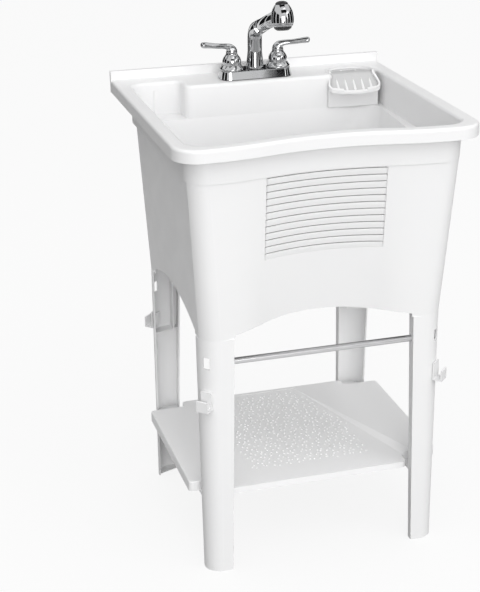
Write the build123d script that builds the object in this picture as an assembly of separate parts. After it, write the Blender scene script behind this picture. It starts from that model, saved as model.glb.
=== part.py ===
from build123d import *
from math import atan, cos, radians, sin, sqrt, tan
import os

# Utility laundry sink: a moulded tub on four clip-in legs, with a shelf and a pull-out faucet.
# The origin is on the floor, below the middle of the tub. +X is right and -Y is the front.
# All sizes are in millimetres and all angles in degrees.

os.makedirs("parts", exist_ok=True)

# ---------------------------------------------------------------- driving sizes

# Rim of the tub
RIM_WIDTH = 600.0
RIM_DEPTH = 576.0
RIM_TOP = 898.0
RIM_DROP = 25.0
RIM_BOW = 27.0
RIM_CORNER_R = 50.0
RIM_SQUARE_R = 3.0
RIM_ROUND = 6.0
RIM_INNER_ROUND = 7.0
BACKSPLASH_HEIGHT = 19.3
BACKSPLASH_THICK = 9.0
TUB_WALL = 4.5

# Upper stage of the tub, whose outside is the collar
RIM_OVERHANG = 25.0
COLLAR_DROP = 74.0
COLLAR_TAPER = 2.5
COLLAR_BACK = 48.0
COLLAR_CORNER_R = 42.0
COLLAR_BACK_R = 40.0
DECK_DEPTH = 98.0
DECK_FROM_SIDE = 137.0
DECK_CORNER_R = 15.0
POCKET_RIB = 2.4
POCKET_RIB_HEIGHT = 52.0

# Lower bowl
LEDGE_FRONT = 18.0
BOWL_SIDE_BACK = 38.0
BOWL_SIDE_FRONT = 66.0
BOWL_DEPTH = 251.0
BOWL_FLOOR_SIDE = 132.0
BOWL_FLOOR_AHEAD = 128.0
BOWL_FLOOR_BEHIND = 150.0
BOWL_TOP_R = 45.0
BOWL_FLOOR_R = 80.0
FLOOR_FALL = 3.0
FLOOR_FALL_R = 120.0
FLOOR_SEAT_MARGIN = 6.0

# Skirt below the collar
SKIRT_INSET = 3.0
SKIRT_WALL = 3.5
SKIRT_FOOT = 505.0
SKIRT_FOOT_SIDE = 52.0
SKIRT_FOOT_SET_BACK = 46.0
SKIRT_FOOT_BOW = 54.0
SKIRT_REAR_SET_IN = 83.0
SKIRT_MID_HALF = 125.0
COLUMN_R = 38.0
COLUMN_CREASE = 20.0
ARCH_SPRING_RISE = 7.0
ARCH_RISE = 15.0
SIDE_ARCH_GAP = 15.5
SIDE_ARCH_RISE = 36.0

# Washboard on the front of the skirt
BOARD_STRIPS = 12
BOARD_PITCH = 13.9
BOARD_HALF = 120.0
BOARD_TOP_GAP = 3.0
BOARD_BITE = 5.0
BOARD_FLUSH = 0.25
BOARD_BACKING = 5.0
BOARD_FRAME = 4.0
BOARD_TAIL = 10.0
BOARD_CUT_AHEAD = 8.0

# Legs
LEG_TOP_WIDTH = 66.0
LEG_FOOT_WIDTH = 52.0
LEG_FOOT_R = 30.0
LEG_SIDE_EXTRA = 4.0
LEG_TOP_FLANGE = 22.0
LEG_FOOT_FLANGE = 14.0
LEG_WALL = 3.5
LEG_FOOT_IN = 2.5
LEG_FOOT_AHEAD = 7.0
LEG_PLUG = 52.0
LEG_FIT = 0.3
LEG_WEB = 3.0
LEG_WEB_HEIGHTS = (3.0, 355.0)
LEG_BRACKET_REACH = 42.0
LEG_RIB_IN = 17.0
LEG_RIB_DEEP = 6.0

# Slots and hooks on the outer corner of each leg
SLOT_WIDTH = 15.0
SLOT_HEIGHT = 24.0
UPPER_SLOT_Z = 457.0
HOOK_SLOT_Z = 380.0
HOOK_WIDTH = 24.0
HOOK_PLATE = 38.0
HOOK_THICK = 3.5
HOOK_REACH = 17.0
HOOK_LIP = 24.0
HOOK_ROUND = 1.2
HOOK_FIT = 0.3
HOOK_CATCH_ROOM = 1.6
HOOK_CATCH = 5.0

# Towel bar
BAR_R = 6.5
BAR_WALL = 1.2
BAR_Z = 455.0
BAR_SET_BACK = 13.0
BAR_TAIL = 14.0
BAR_FIT = 0.15

# Shelf
SHELF_OVERHANG = 19.0
SHELF_SET_BACK = 20.0
SHELF_REAR_SET_IN = 29.0
SHELF_TOP = 180.0
SHELF_HEIGHT = 21.0
SHELF_WALL = 4.0
SHELF_CORNER_R = 9.0
SHELF_ROUND = 3.0
SHELF_DIP = 8.0
SHELF_DIP_HALF_FRONT = 206.0
SHELF_DIP_HALF_BACK = 72.0
SHELF_DIP_SLOPE = 27.0
SHELF_DIP_LEAD = 5.0
SHELF_DIP_REAR = 0.4
SHELF_DIP_REAR_SLOPE = 2.0
SHELF_DIP_MARGIN = 11.0
SHELF_RIBS = 4
SHELF_RIB = 3.0
SHELF_NOTCH_FIT = 1.0
SHELF_NOTCH_BEHIND = 21.0
SHELF_SEAT_FIT = 0.3

# Soap dish in the right-hand pocket, measured from a point on the deck's front edge
DISH_FROM_SIDE = 94.0
DISH_AHEAD = 3.0
DISH_TURN = -5.0
DISH_HALF = 57.0
DISH_SWELL = 1.0
DISH_LIP_HALF = 46.0
DISH_WAIST_HALF = 49.0
DISH_SHOULDER_HALF = 54.0
DISH_LIP = -35.0
DISH_LOBE = -20.0
DISH_WAIST = 4.0
DISH_SHOULDER = 14.0
DISH_REAR = 52.0
DISH_KNEE = 8.0
DISH_FALL = 33.0
DISH_RIM = 3.0
DISH_RIM_WIDTH = 4.0
DISH_DEPTH = 5.0
DISH_FLOOR = 2.5
DISH_NOTCH = 52.0
DISH_NOTCH_DROP = 3.0
DISH_RIBS = 5
DISH_RIB_PITCH = 18.0
DISH_RIB_R = 2.6
DISH_RIB_LENGTH = 24.0
DISH_RIB_HEIGHT = 2.0
DISH_RIB_BACK = 1.0
DISH_SLOT = 31.0
DISH_SLOT_WIDTH = 9.0
DISH_SLOT_Y = 33.0
DISH_APRON_Y = -9.0
DISH_APRON_HALF = 55.0
DISH_GUSSET_HALF = 34.0
DISH_GUSSET_BACK = 36.0
DISH_PLATE = 2.5

# Faucet on the deck
FAUCET_FROM_BACK = 66.0
CENTRES = 101.6
BASE_LENGTH = 158.0
BASE_DEPTH = 55.0
BASE_R = 22.0
BASE_HEIGHT = 17.0
BASE_DRAFT = 14.0
BASE_WALL = 3.0
BASE_ROUND = 2.0
GASKET_THICK = 1.5
GASKET_INSET = 1.0
SHANK_R = 10.4
SHANK_BORE_R = 6.0
SHANK_DROP = 48.0
SHANK_GROOVE = 2.0
SHANK_GROOVE_DEEP = 0.8
SHANK_HOLE_R = 14.0
SHANK_FLANGE_R = 17.0
SHANK_FLANGE = 5.0
NUT_R = 19.0
NUT_HEIGHT = 11.0
NUT_WINGS = 4
NUT_WING = 5.0
BELL_R = 25.0
BELL_BEVEL = 1.0
BELL_STEP_R = 21.0
BELL_STEP = 9.0
BELL_TOP_R = 12.5
BELL_HEIGHT = 38.0
BELL_WALL = 2.5
NECK_HEIGHT = 24.0
STEM_R = 5.0
STEM_FOOT = 6.0
STEM_HEAD = 50.0
RUN_FIT = 0.05
GAP = 0.3
LEVER_LENGTH = 62.0
LEVER_HUB_R = 12.0
LEVER_HUB_HEIGHT = 19.0
LEVER_HUB_WAIST = 1.5
LEVER_HUB_BELLY = 1.0
LEVER_HUB_DOME = 5.0
LEVER_HUB_CAP = 1.5
LEVER_BELOW_CROWN = 3.0
LEVER_SWEEP = 12.0
LEVER_RISE = 6.0
LEVER_HALF_WIDTH = 7.5
LEVER_HALF_HEIGHT = 6.0
SCREW_R = 2.4
SCREW_HEX = 1.3
SPOUT_FLARE_R = 20.0
SPOUT_R = 15.2
SPOUT_WALL = 6.2
SPOUT_FOOT = 3.0
SPOUT_FLARE_SHARE = 0.45
SPOUT_FLARE = 34.0
SPIGOT_NECK = 22.0
BUSH_R = 11.0
BUSH_BORE_R = 8.0
ARM_ANGLE = 20.0
ARM_AXIS_Z = 997.0
ARM_BEND_R = 26.0
ARM_LENGTH = 44.0
SOCKET_R = 10.0
SOCKET_DEPTH = 32.0
SPIGOT_LENGTH = 30.0
WAND_R = 14.2
WAND_REACH = 198.0
WAND_BORE_R = 6.0
HEAD_R = 22.7
HEAD_TOP_R = 13.6
HEAD_FOOT_R = 21.2
HEAD_TOP = 18.0
HEAD_GIRTH = -11.0
HEAD_FOOT = -20.5
HEAD_LEAN = 10.0
WATER_BORE_R = 5.0
BUTTON_R = 12.6
BUTTON_HEIGHT = 13.0
BUTTON_TRAVEL = 3.0
BUTTON_STAND = 7.4
BUTTON_DOME = 6.4
BUTTON_BEVEL = 1.6
RING_HEIGHT = 4.2
RING_FOOT_R = 18.6
RING_BEVEL = 0.5
FACE_HEIGHT = 7.0
FACE_END_R = 10.5
FACE_PLUG_R = 12.0
FACE_PLUG = 6.0
FACE_HOLE_R = 1.0
FACE_HOLES = 10
FACE_HOLE_SHARE = 0.6
FACE_BEVEL = 1.0
FACE_SET_IN = 0.8

# Waste outlet
WASTE_R = 19.05
WASTE_WALL = 1.6
DRAIN_FLANGE_R = 38.0
DRAIN_FLANGE = 2.5
DRAIN_TUBE_R = 24.0
DRAIN_BORE_R = 20.5
DRAIN_MOUTH = 8.0
DRAIN_MOUTH_FLARE = 1.5
DRAIN_BEVEL = 1.0
DRAIN_DROP = 44.0
DRAIN_BAR = 3.0
DRAIN_GASKET_R = 33.0
DRAIN_GASKET = 3.0
DRAIN_NUT_R = 34.0
DRAIN_NUT = 12.0
NUT_SIDES = 8
STOPPER_DEPTH = 9.0
STOPPER_LIP = 4.0
STOPPER_PLATE = 3.0
STOPPER_BEVEL = 1.0
STOPPER_KNOB_R = 6.0
STOPPER_KNOB = 9.0
STOPPER_NECK = 2.0
TAIL_LENGTH = 84.0
TAIL_LAP = 12.0
TAIL_BEAD = 1.5
TAIL_BEAD_HEIGHT = 3.0
TAIL_NUT_R = 30.0
TAIL_NUT = 20.0

# Levels and places that follow from them
RIM_HALF = RIM_WIDTH / 2
FRONT = -RIM_DEPTH / 2
BACK = RIM_DEPTH / 2
COLLAR_FOOT = RIM_TOP - COLLAR_DROP
LEDGE = COLLAR_FOOT + TUB_WALL
COLLAR_HALF = RIM_HALF - RIM_OVERHANG
DECK_HALF = RIM_HALF - DECK_FROM_SIDE
COLLAR_FRONT = FRONT + RIM_OVERHANG
COLLAR_REAR = BACK - COLLAR_BACK
DECK_FRONT = BACK - BACKSPLASH_THICK - DECK_DEPTH
BOWL_HALF_BACK = RIM_HALF - BOWL_SIDE_BACK
BOWL_HALF_FRONT = RIM_HALF - BOWL_SIDE_FRONT
BOWL_FLOOR_HALF = RIM_HALF - BOWL_FLOOR_SIDE
BOWL_FLOOR_FRONT = FRONT + BOWL_FLOOR_AHEAD
BOWL_FLOOR_BACK = BACK - BOWL_FLOOR_BEHIND
FLOOR_TOP = LEDGE - BOWL_DEPTH
BOWL_FRONT = COLLAR_FRONT + RIM_BOW + TUB_WALL + LEDGE_FRONT
SKIRT_HALF = COLLAR_HALF - COLLAR_TAPER - SKIRT_INSET
SKIRT_FRONT = COLLAR_FRONT + COLLAR_TAPER + SKIRT_INSET
SKIRT_FOOT_HALF = RIM_HALF - SKIRT_FOOT_SIDE
SKIRT_FOOT_FRONT = FRONT + SKIRT_FOOT_SET_BACK
SKIRT_BACK = BACK - SKIRT_REAR_SET_IN
SKIRT_MIDDLE = (SKIRT_FOOT_FRONT + SKIRT_BACK) / 2
ARCH_HALF = SKIRT_FOOT_HALF - LEG_TOP_WIDTH
ARCH_SPRING = SKIRT_FOOT + ARCH_SPRING_RISE
ARCH_CROWN = ARCH_SPRING + ARCH_RISE
SIDE_ARCH_HALF = SKIRT_BACK - SKIRT_MIDDLE - COLUMN_R - SIDE_ARCH_GAP
SIDE_ARCH_CROWN = ARCH_SPRING + SIDE_ARCH_RISE
LEG_TOP_OUT = SKIRT_FOOT_HALF + COLUMN_R * (1 - cos(radians(COLUMN_CREASE)))
LEG_FOOT_OUT = SKIRT_FOOT_HALF - LEG_FOOT_IN
LEG_FOOT_FRONT = SKIRT_FOOT_FRONT - LEG_FOOT_AHEAD
FAUCET_Y = BACK - FAUCET_FROM_BACK
BASE_SEAT = RIM_TOP + GASKET_THICK
BASE_TOP = BASE_SEAT + BASE_HEIGHT
SHELF_FOOT = SHELF_TOP - SHELF_HEIGHT
SHELF_HALF = SKIRT_FOOT_HALF + SHELF_OVERHANG
SHELF_FRONT = SKIRT_FOOT_FRONT + SHELF_SET_BACK
SHELF_BACK = SKIRT_BACK - SHELF_REAR_SET_IN
DISH_X = RIM_HALF - DISH_FROM_SIDE
SHANK_NUT_FOOT = RIM_TOP - TUB_WALL - GAP - NUT_HEIGHT
TAIL_NUT_FOOT = FLOOR_TOP - DRAIN_DROP - TAIL_NUT / 2


# ---------------------------------------------------------------- shared outlines


def plan(half, front, back, bow, r_front, r_back, z, crease=0.0, mid=SKIRT_MID_HALF):
    """Closed face at height z: a rounded oblong whose front bows inwards by bow.

    The front is one hollow arc of half chord mid, eased by a rounded arc on either side
    into the corner. A crease leaves each corner arc short of square by that many degrees.
    """
    turn = radians(crease)
    middle = radians(45 + crease / 2)
    end = half - r_front * cos(turn)
    rear = half - r_back * cos(turn)
    slope = bow / end
    angle = 2 * atan(slope)
    ease_r = (end - mid) / sin(angle)
    side_low = (half, front + r_front * (1 - sin(turn)))
    side_high = (half, back - r_back * (1 - sin(turn)))
    front_mid = (end + r_front * cos(middle), front + r_front * (1 - sin(middle)))
    rear_mid = (rear + r_back * cos(middle), back - r_back * (1 - sin(middle)))
    ease_mid = (end - ease_r * sin(angle / 2), front + ease_r * (1 - cos(angle / 2)))
    hollow_end = (mid, front + bow - mid * slope)
    edges = [
        Edge.make_three_point_arc((-mid, hollow_end[1], z), (0, front + bow, z), (mid, hollow_end[1], z)),
        Edge.make_line((-rear, back, z), (rear, back, z)),
    ]
    for sign in (1, -1):

        def at(point):
            return (sign * point[0], point[1], z)

        edges.append(Edge.make_three_point_arc(at(hollow_end), at(ease_mid), at((end, front))))
        edges.append(Edge.make_three_point_arc(at((end, front)), at(front_mid), at(side_low)))
        edges.append(Edge.make_line(at(side_low), at(side_high)))
        edges.append(Edge.make_three_point_arc(at(side_high), at(rear_mid), at((rear, back))))
    return Face(Wire(edges))


def block(x0, x1, y0, y1, z0, z1):
    """A box between two corners."""
    size = (abs(x1 - x0), abs(y1 - y0), abs(z1 - z0))
    return Pos((x0 + x1) / 2, (y0 + y1) / 2, (z0 + z1) / 2) * Box(*size)


def turned(profile, x=0.0, y=0.0, z=0.0):
    """A solid turned about a vertical axis, from (radius, height) points."""
    points = [(r, 0, h) for r, h in profile]
    face = Face(Wire.make_polygon(points, close=True))
    return Pos(x, y, z) * revolve(face, Axis.Z, 360)


def upright(shape):
    """The edges of a shape that stand straight up."""
    found = []
    for edge in shape.edges():
        size = edge.bounding_box().size
        if size.X < 0.05 and size.Y < 0.05:
            found.append(edge)
    return found


def save(name, shape):
    """Write one node."""
    export_step(shape, "parts/" + name + ".step")


# ---------------------------------------------------------------- tub


def rounded_trapezoid(half_back, half_front, front, back, r_back, r_front, z):
    """Closed face at height z: four straight sides with rounded corners."""
    corners = [(-half_back, back), (half_back, back), (half_front, front), (-half_front, front)]
    outline = Face(Wire.make_polygon([(x, y, z) for x, y in corners], close=True))
    rear = [v for v in outline.vertices() if v.Y > (front + back) / 2]
    outline = outline.fillet_2d(r_back, rear)
    ahead = sorted(outline.vertices(), key=lambda v: v.Y)[:2]
    return outline.fillet_2d(r_front, ahead)


def bowl_form(grow, floor):
    """The lower bowl as a solid, grown sideways by grow and reaching down to floor."""
    share = (LEDGE - floor) / (LEDGE - FLOOR_TOP)

    def between(top, foot):
        return top + (foot - top) * share

    top = rounded_trapezoid(
        BOWL_HALF_BACK + grow, BOWL_HALF_FRONT + grow, BOWL_FRONT - grow, DECK_FRONT + grow,
        BOWL_TOP_R + grow, BOWL_TOP_R + grow, LEDGE,
    )
    foot = rounded_trapezoid(
        between(BOWL_HALF_BACK, BOWL_FLOOR_HALF) + grow,
        between(BOWL_HALF_FRONT, BOWL_FLOOR_HALF) + grow,
        between(BOWL_FRONT, BOWL_FLOOR_FRONT) - grow,
        between(DECK_FRONT, BOWL_FLOOR_BACK) + grow,
        BOWL_FLOOR_R + grow, BOWL_FLOOR_R + grow, floor,
    )
    return Solid.make_loft([top.outer_wire(), foot.outer_wire()], True)


def upper_form(inset, foot, top):
    """The upper stage as a solid between two heights, inset from the collar's outside."""
    rise = (top - COLLAR_FOOT) / (RIM_TOP - COLLAR_FOOT)
    fall = (foot - COLLAR_FOOT) / (RIM_TOP - COLLAR_FOOT)
    sections = []
    for share, z in ((fall, foot), (rise, top)):
        taper = COLLAR_TAPER * (1 - share) + inset
        face = plan(
            COLLAR_HALF - taper, COLLAR_FRONT + taper, COLLAR_REAR - inset, RIM_BOW,
            COLLAR_CORNER_R - inset, COLLAR_BACK_R - inset, z,
        )
        sections.append(face.outer_wire())
    return Solid.make_loft(sections, True)


def make_tub():
    """Rim, backsplash, faucet deck, two pockets, collar and lower bowl, moulded in one."""
    slab = extrude(
        plan(RIM_HALF, FRONT, BACK, RIM_BOW, RIM_CORNER_R, RIM_SQUARE_R, RIM_TOP - RIM_DROP), RIM_DROP
    )
    edge = [e for e in slab.edges().group_by(Axis.Z)[-1] if e.center().Y < BACK - 1]
    slab = fillet(edge, RIM_ROUND)
    hollow = extrude(
        plan(
            RIM_HALF - TUB_WALL, FRONT + TUB_WALL, BACK - TUB_WALL, RIM_BOW,
            RIM_CORNER_R - TUB_WALL, RIM_SQUARE_R, RIM_TOP - RIM_DROP,
        ),
        RIM_DROP - TUB_WALL,
    )
    splash = block(
        -RIM_HALF, RIM_HALF, BACK - BACKSPLASH_THICK, BACK, RIM_TOP - TUB_WALL, RIM_TOP + BACKSPLASH_HEIGHT
    )
    body = slab - hollow + upper_form(0, COLLAR_FOOT, RIM_TOP - TUB_WALL) + splash
    body += bowl_form(TUB_WALL, FLOOR_TOP - TUB_WALL)

    deck = block(-DECK_HALF, DECK_HALF, DECK_FRONT, BACK, LEDGE - 1, RIM_TOP + 1)
    nose = [e for e in deck.edges().filter_by(Axis.Z) if e.center().Y < DECK_FRONT + 1]
    deck = fillet(nose, DECK_CORNER_R)
    well = upper_form(TUB_WALL, LEDGE, RIM_TOP) - deck
    inner = [
        e for e in upright(well)
        if abs(abs(e.center().X) - DECK_HALF) < 1 and e.center().Y > COLLAR_REAR - TUB_WALL - 1
    ]
    well = fillet(inner, DECK_CORNER_R)
    body -= well
    brim = []
    for edge in body.edges():
        box = edge.bounding_box()
        level = abs(box.min.Z - RIM_TOP) < 0.01 and abs(box.max.Z - RIM_TOP) < 0.01
        if level and abs(edge.center().X) < COLLAR_HALF and COLLAR_FRONT < edge.center().Y < COLLAR_REAR:
            brim.append(edge)
    body = fillet(brim, RIM_INNER_ROUND)
    body -= bowl_form(0, FLOOR_TOP)

    # Dished floor falling to the waste
    dish = Solid.make_cone(DRAIN_FLANGE_R + FLOOR_SEAT_MARGIN, FLOOR_FALL_R, FLOOR_FALL)
    body += Pos(0, 0, FLOOR_TOP) * (
        extrude(
            rounded_trapezoid(
                BOWL_FLOOR_HALF + 1, BOWL_FLOOR_HALF + 1, BOWL_FLOOR_FRONT - 1, BOWL_FLOOR_BACK + 1,
                BOWL_FLOOR_R, BOWL_FLOOR_R, 0,
            ),
            FLOOR_FALL,
        )
        - dish
    )

    # Under the deck the moulding is open, so that the faucet's nuts can be reached
    under = block(
        -DECK_HALF + TUB_WALL, DECK_HALF - TUB_WALL, DECK_FRONT + TUB_WALL, COLLAR_REAR + 1,
        COLLAR_FOOT - 1, RIM_TOP - TUB_WALL,
    )
    body -= under
    for x in (-CENTRES / 2, 0, CENTRES / 2):
        body -= Pos(x, FAUCET_Y, RIM_TOP - TUB_WALL / 2) * Cylinder(SHANK_HOLE_R, TUB_WALL * 2)
    body -= Pos(0, 0, FLOOR_TOP - TUB_WALL / 2) * Cylinder(DRAIN_TUBE_R + GAP, TUB_WALL * 3)

    # A rib up the back of each pocket keeps a soap dish from sliding
    for side in (-1, 1):
        x = side * (DECK_HALF + COLLAR_HALF - TUB_WALL) / 2
        body += block(
            x - POCKET_RIB / 2, x + POCKET_RIB / 2,
            COLLAR_REAR - TUB_WALL - POCKET_RIB, COLLAR_REAR - TUB_WALL + 1,
            LEDGE, LEDGE + POCKET_RIB_HEIGHT,
        )
    return body


# ---------------------------------------------------------------- skirt and washboard


def skirt_plan(inset, z):
    """Outline of the skirt at height z, inset from its outside."""
    share = (COLLAR_FOOT - z) / (COLLAR_FOOT - SKIRT_FOOT)

    def between(top, foot):
        return top + (foot - top) * share

    return plan(
        between(SKIRT_HALF, SKIRT_FOOT_HALF) - inset,
        between(SKIRT_FRONT, SKIRT_FOOT_FRONT) + inset,
        SKIRT_BACK - inset,
        between(RIM_BOW, SKIRT_FOOT_BOW),
        COLUMN_R - inset, COLUMN_R - inset, z, COLUMN_CREASE,
    )


def skirt_form(inset, foot, top):
    """The skirt's outside as a solid between two heights, inset by a wall."""
    return Solid.make_loft(
        [skirt_plan(inset, foot).outer_wire(), skirt_plan(inset, top).outer_wire()], True
    )


def board_arc(z):
    """Radius and middle of the front's hollow arc at height z."""
    share = (COLLAR_FOOT - z) / (COLLAR_FOOT - SKIRT_FOOT)
    half = SKIRT_HALF + (SKIRT_FOOT_HALF - SKIRT_HALF) * share
    front = SKIRT_FRONT + (SKIRT_FOOT_FRONT - SKIRT_FRONT) * share
    bow = RIM_BOW + (SKIRT_FOOT_BOW - RIM_BOW) * share
    end = half - COLUMN_R * cos(radians(COLUMN_CREASE))
    radius = SKIRT_MID_HALF / sin(2 * atan(bow / end))
    return radius, front + bow


def board_bite(inset, z):
    """A slice in front of the front wall at height z, reaching inset into it."""
    radius, middle = board_arc(z)
    drop = radius - sqrt(radius**2 - BOARD_HALF**2)
    outer = middle - drop - BOARD_CUT_AHEAD
    back = middle + inset
    edges = [
        Edge.make_three_point_arc((-BOARD_HALF, back - drop, z), (0, back, z), (BOARD_HALF, back - drop, z)),
        Edge.make_line((BOARD_HALF, back - drop, z), (BOARD_HALF, outer, z)),
        Edge.make_line((BOARD_HALF, outer, z), (-BOARD_HALF, outer, z)),
        Edge.make_line((-BOARD_HALF, outer, z), (-BOARD_HALF, back - drop, z)),
    ]
    return Wire(edges)


def arch(half, spring, crown, foot):
    """A shallow arched opening in the XZ plane, from the foot level up."""
    edges = [
        Edge.make_three_point_arc((-half, 0, spring), (0, 0, crown), (half, 0, spring)),
        Edge.make_line((half, 0, spring), (half, 0, foot)),
        Edge.make_line((half, 0, foot), (-half, 0, foot)),
        Edge.make_line((-half, 0, foot), (-half, 0, spring)),
    ]
    return Face(Wire(edges))


def make_skirt():
    """Skirt with corner columns, arched hems and the stepped washboard on its front."""
    body = skirt_form(0, SKIRT_FOOT, COLLAR_FOOT) - skirt_form(SKIRT_WALL, SKIRT_FOOT, COLLAR_FOOT)
    board_top = COLLAR_FOOT - BOARD_TOP_GAP
    board_foot = board_top - BOARD_STRIPS * BOARD_PITCH
    wide = BOARD_HALF + BOARD_FRAME
    slab = block(-wide, wide, FRONT, 0, board_foot - BOARD_FRAME, COLLAR_FOOT)
    thick = SKIRT_WALL + BOARD_BACKING
    tail = board_foot - BOARD_TAIL
    backing = skirt_form(SKIRT_WALL / 2, tail, COLLAR_FOOT) - skirt_form(thick, tail, COLLAR_FOOT)
    body += backing & slab
    for strip in range(BOARD_STRIPS):
        top = board_top - strip * BOARD_PITCH
        foot = top - BOARD_PITCH
        body -= Solid.make_loft([board_bite(BOARD_FLUSH, foot), board_bite(BOARD_BITE, top)], True)
    low = SKIRT_FOOT - 1
    front_arch = arch(ARCH_HALF, ARCH_SPRING, ARCH_CROWN, low)
    body -= extrude(front_arch, RIM_DEPTH, dir=(0, 1, 0)) + extrude(front_arch, RIM_DEPTH, dir=(0, -1, 0))
    side_arch = Rot(0, 0, 90) * arch(SIDE_ARCH_HALF, ARCH_SPRING, SIDE_ARCH_CROWN, low)
    side_arch = Pos(0, SKIRT_MIDDLE, 0) * side_arch
    body -= extrude(side_arch, RIM_WIDTH, dir=(1, 0, 0)) + extrude(side_arch, RIM_WIDTH, dir=(-1, 0, 0))
    return body


# ---------------------------------------------------------------- legs


def leg_size(z):
    """Width, corner radius, flange depth, outside x and front y of a leg at height z."""
    share = z / SKIRT_FOOT
    return (
        LEG_FOOT_WIDTH + (LEG_TOP_WIDTH - LEG_FOOT_WIDTH) * share,
        LEG_FOOT_R + (COLUMN_R - LEG_FOOT_R) * share,
        LEG_FOOT_FLANGE + (LEG_TOP_FLANGE - LEG_FOOT_FLANGE) * share,
        LEG_FOOT_OUT + (LEG_TOP_OUT - LEG_FOOT_OUT) * share,
        LEG_FOOT_FRONT + (SKIRT_FOOT_FRONT - LEG_FOOT_FRONT) * share,
    )


def plug_size():
    """The same sizes for the plug above the leg, which slides up inside the column."""
    slack = SKIRT_WALL + LEG_FIT
    out = SKIRT_FOOT_HALF - slack
    front = SKIRT_FOOT_FRONT + slack
    return LEG_TOP_WIDTH - 2 * slack, COLUMN_R - slack, LEG_TOP_FLANGE - slack, out, front


def leg_outline(sizes, z):
    """Section of the front right leg: a flat front, a round corner, a side and a flange."""
    width, radius, flange, out, front = sizes
    side = radius + LEG_SIDE_EXTRA
    inner = radius - LEG_WALL
    cx = out - radius
    cy = front + radius
    slant = sqrt(0.5)
    left = out - width
    edges = [
        Edge.make_line((left, front, z), (cx, front, z)),
        Edge.make_three_point_arc(
            (cx, front, z), (cx + radius * slant, cy - radius * slant, z), (out, cy, z)
        ),
        Edge.make_line((out, cy, z), (out, front + side, z)),
        Edge.make_line((out, front + side, z), (out - LEG_WALL, front + side, z)),
        Edge.make_line((out - LEG_WALL, front + side, z), (out - LEG_WALL, cy, z)),
        Edge.make_three_point_arc(
            (out - LEG_WALL, cy, z), (cx + inner * slant, cy - inner * slant, z), (cx, cy - inner, z)
        ),
        Edge.make_line((cx, front + LEG_WALL, z), (left + LEG_WALL, front + LEG_WALL, z)),
        Edge.make_line((left + LEG_WALL, front + LEG_WALL, z), (left + LEG_WALL, front + flange, z)),
        Edge.make_line((left + LEG_WALL, front + flange, z), (left, front + flange, z)),
        Edge.make_line((left, front + flange, z), (left, front, z)),
    ]
    return Wire(edges)


def leg_web_face(sizes, z, reach=0.0):
    """The space inside a leg's section, closed by a slant or carried on inwards by reach."""
    width, radius, flange, out, front = sizes
    half_wall = LEG_WALL / 2
    inner = radius - half_wall
    cx = out - radius
    cy = front + radius
    slant = sqrt(0.5)
    left = out - width + half_wall
    right = out - half_wall
    rear = front + radius + LEG_SIDE_EXTRA
    path = [(right, rear, z)]
    if reach:
        path += [(right, rear + reach, z), (left, rear + reach, z)]
    path += [(left, front + flange, z)]
    edges = [
        Edge.make_line((left, front + half_wall, z), (cx, front + half_wall, z)),
        Edge.make_three_point_arc(
            (cx, cy - inner, z), (cx + inner * slant, cy - inner * slant, z), (right, cy, z)
        ),
        Edge.make_line((right, cy, z), path[0]),
    ]
    for start, end in zip(path, path[1:]):
        edges.append(Edge.make_line(start, end))
    edges.append(Edge.make_line(path[-1], (left, front + half_wall, z)))
    return Face(Wire(edges))


def corner_frame(z):
    """Where the outer corner of the front right leg crests at height z, facing outwards."""
    width, radius, flange, out, front = leg_size(z)
    slant = sqrt(0.5)
    return Pos(out - radius + radius * slant, front + radius - radius * slant, z) * Rot(0, 0, -45)


def make_leg():
    """The front right leg: a tapered channel with webs, a plug, two slots and a shelf bracket."""
    body = Solid.make_loft([leg_outline(leg_size(0), 0), leg_outline(leg_size(SKIRT_FOOT), SKIRT_FOOT)], True)
    plug_top = SKIRT_FOOT + LEG_PLUG
    plug = extrude(Face(leg_outline(plug_size(), SKIRT_FOOT)), LEG_PLUG)
    body += plug & skirt_form(SKIRT_WALL + LEG_FIT, SKIRT_FOOT, plug_top)
    for z in LEG_WEB_HEIGHTS + (SKIRT_FOOT - LEG_WEB,):
        body += extrude(leg_web_face(leg_size(z), z), LEG_WEB)
    low = LEG_WEB_HEIGHTS[-1] + LEG_WEB / 2
    high = SKIRT_FOOT - LEG_WEB / 2
    width, radius, flange, out, front = leg_size(high)
    rib_x = out - width + LEG_RIB_IN
    rib_front = front + LEG_WALL / 4
    body += block(rib_x, rib_x + LEG_WEB, rib_front, front + flange + LEG_RIB_DEEP, low, high)
    seat = SHELF_FOOT - SHELF_SEAT_FIT
    body += extrude(leg_web_face(leg_size(seat), seat - LEG_WEB, LEG_BRACKET_REACH), LEG_WEB)
    for z in (UPPER_SLOT_Z, HOOK_SLOT_Z):
        body -= corner_frame(z) * Box(LEG_WALL * 4, SLOT_WIDTH, SLOT_HEIGHT)
    width, radius, flange, out, front = leg_size(BAR_Z)
    bore = Cylinder(BAR_R + BAR_FIT, LEG_WALL * 3)
    body -= Pos(out - width, front + BAR_SET_BACK, BAR_Z) * Rot(0, 90, 0) * bore
    return body


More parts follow.
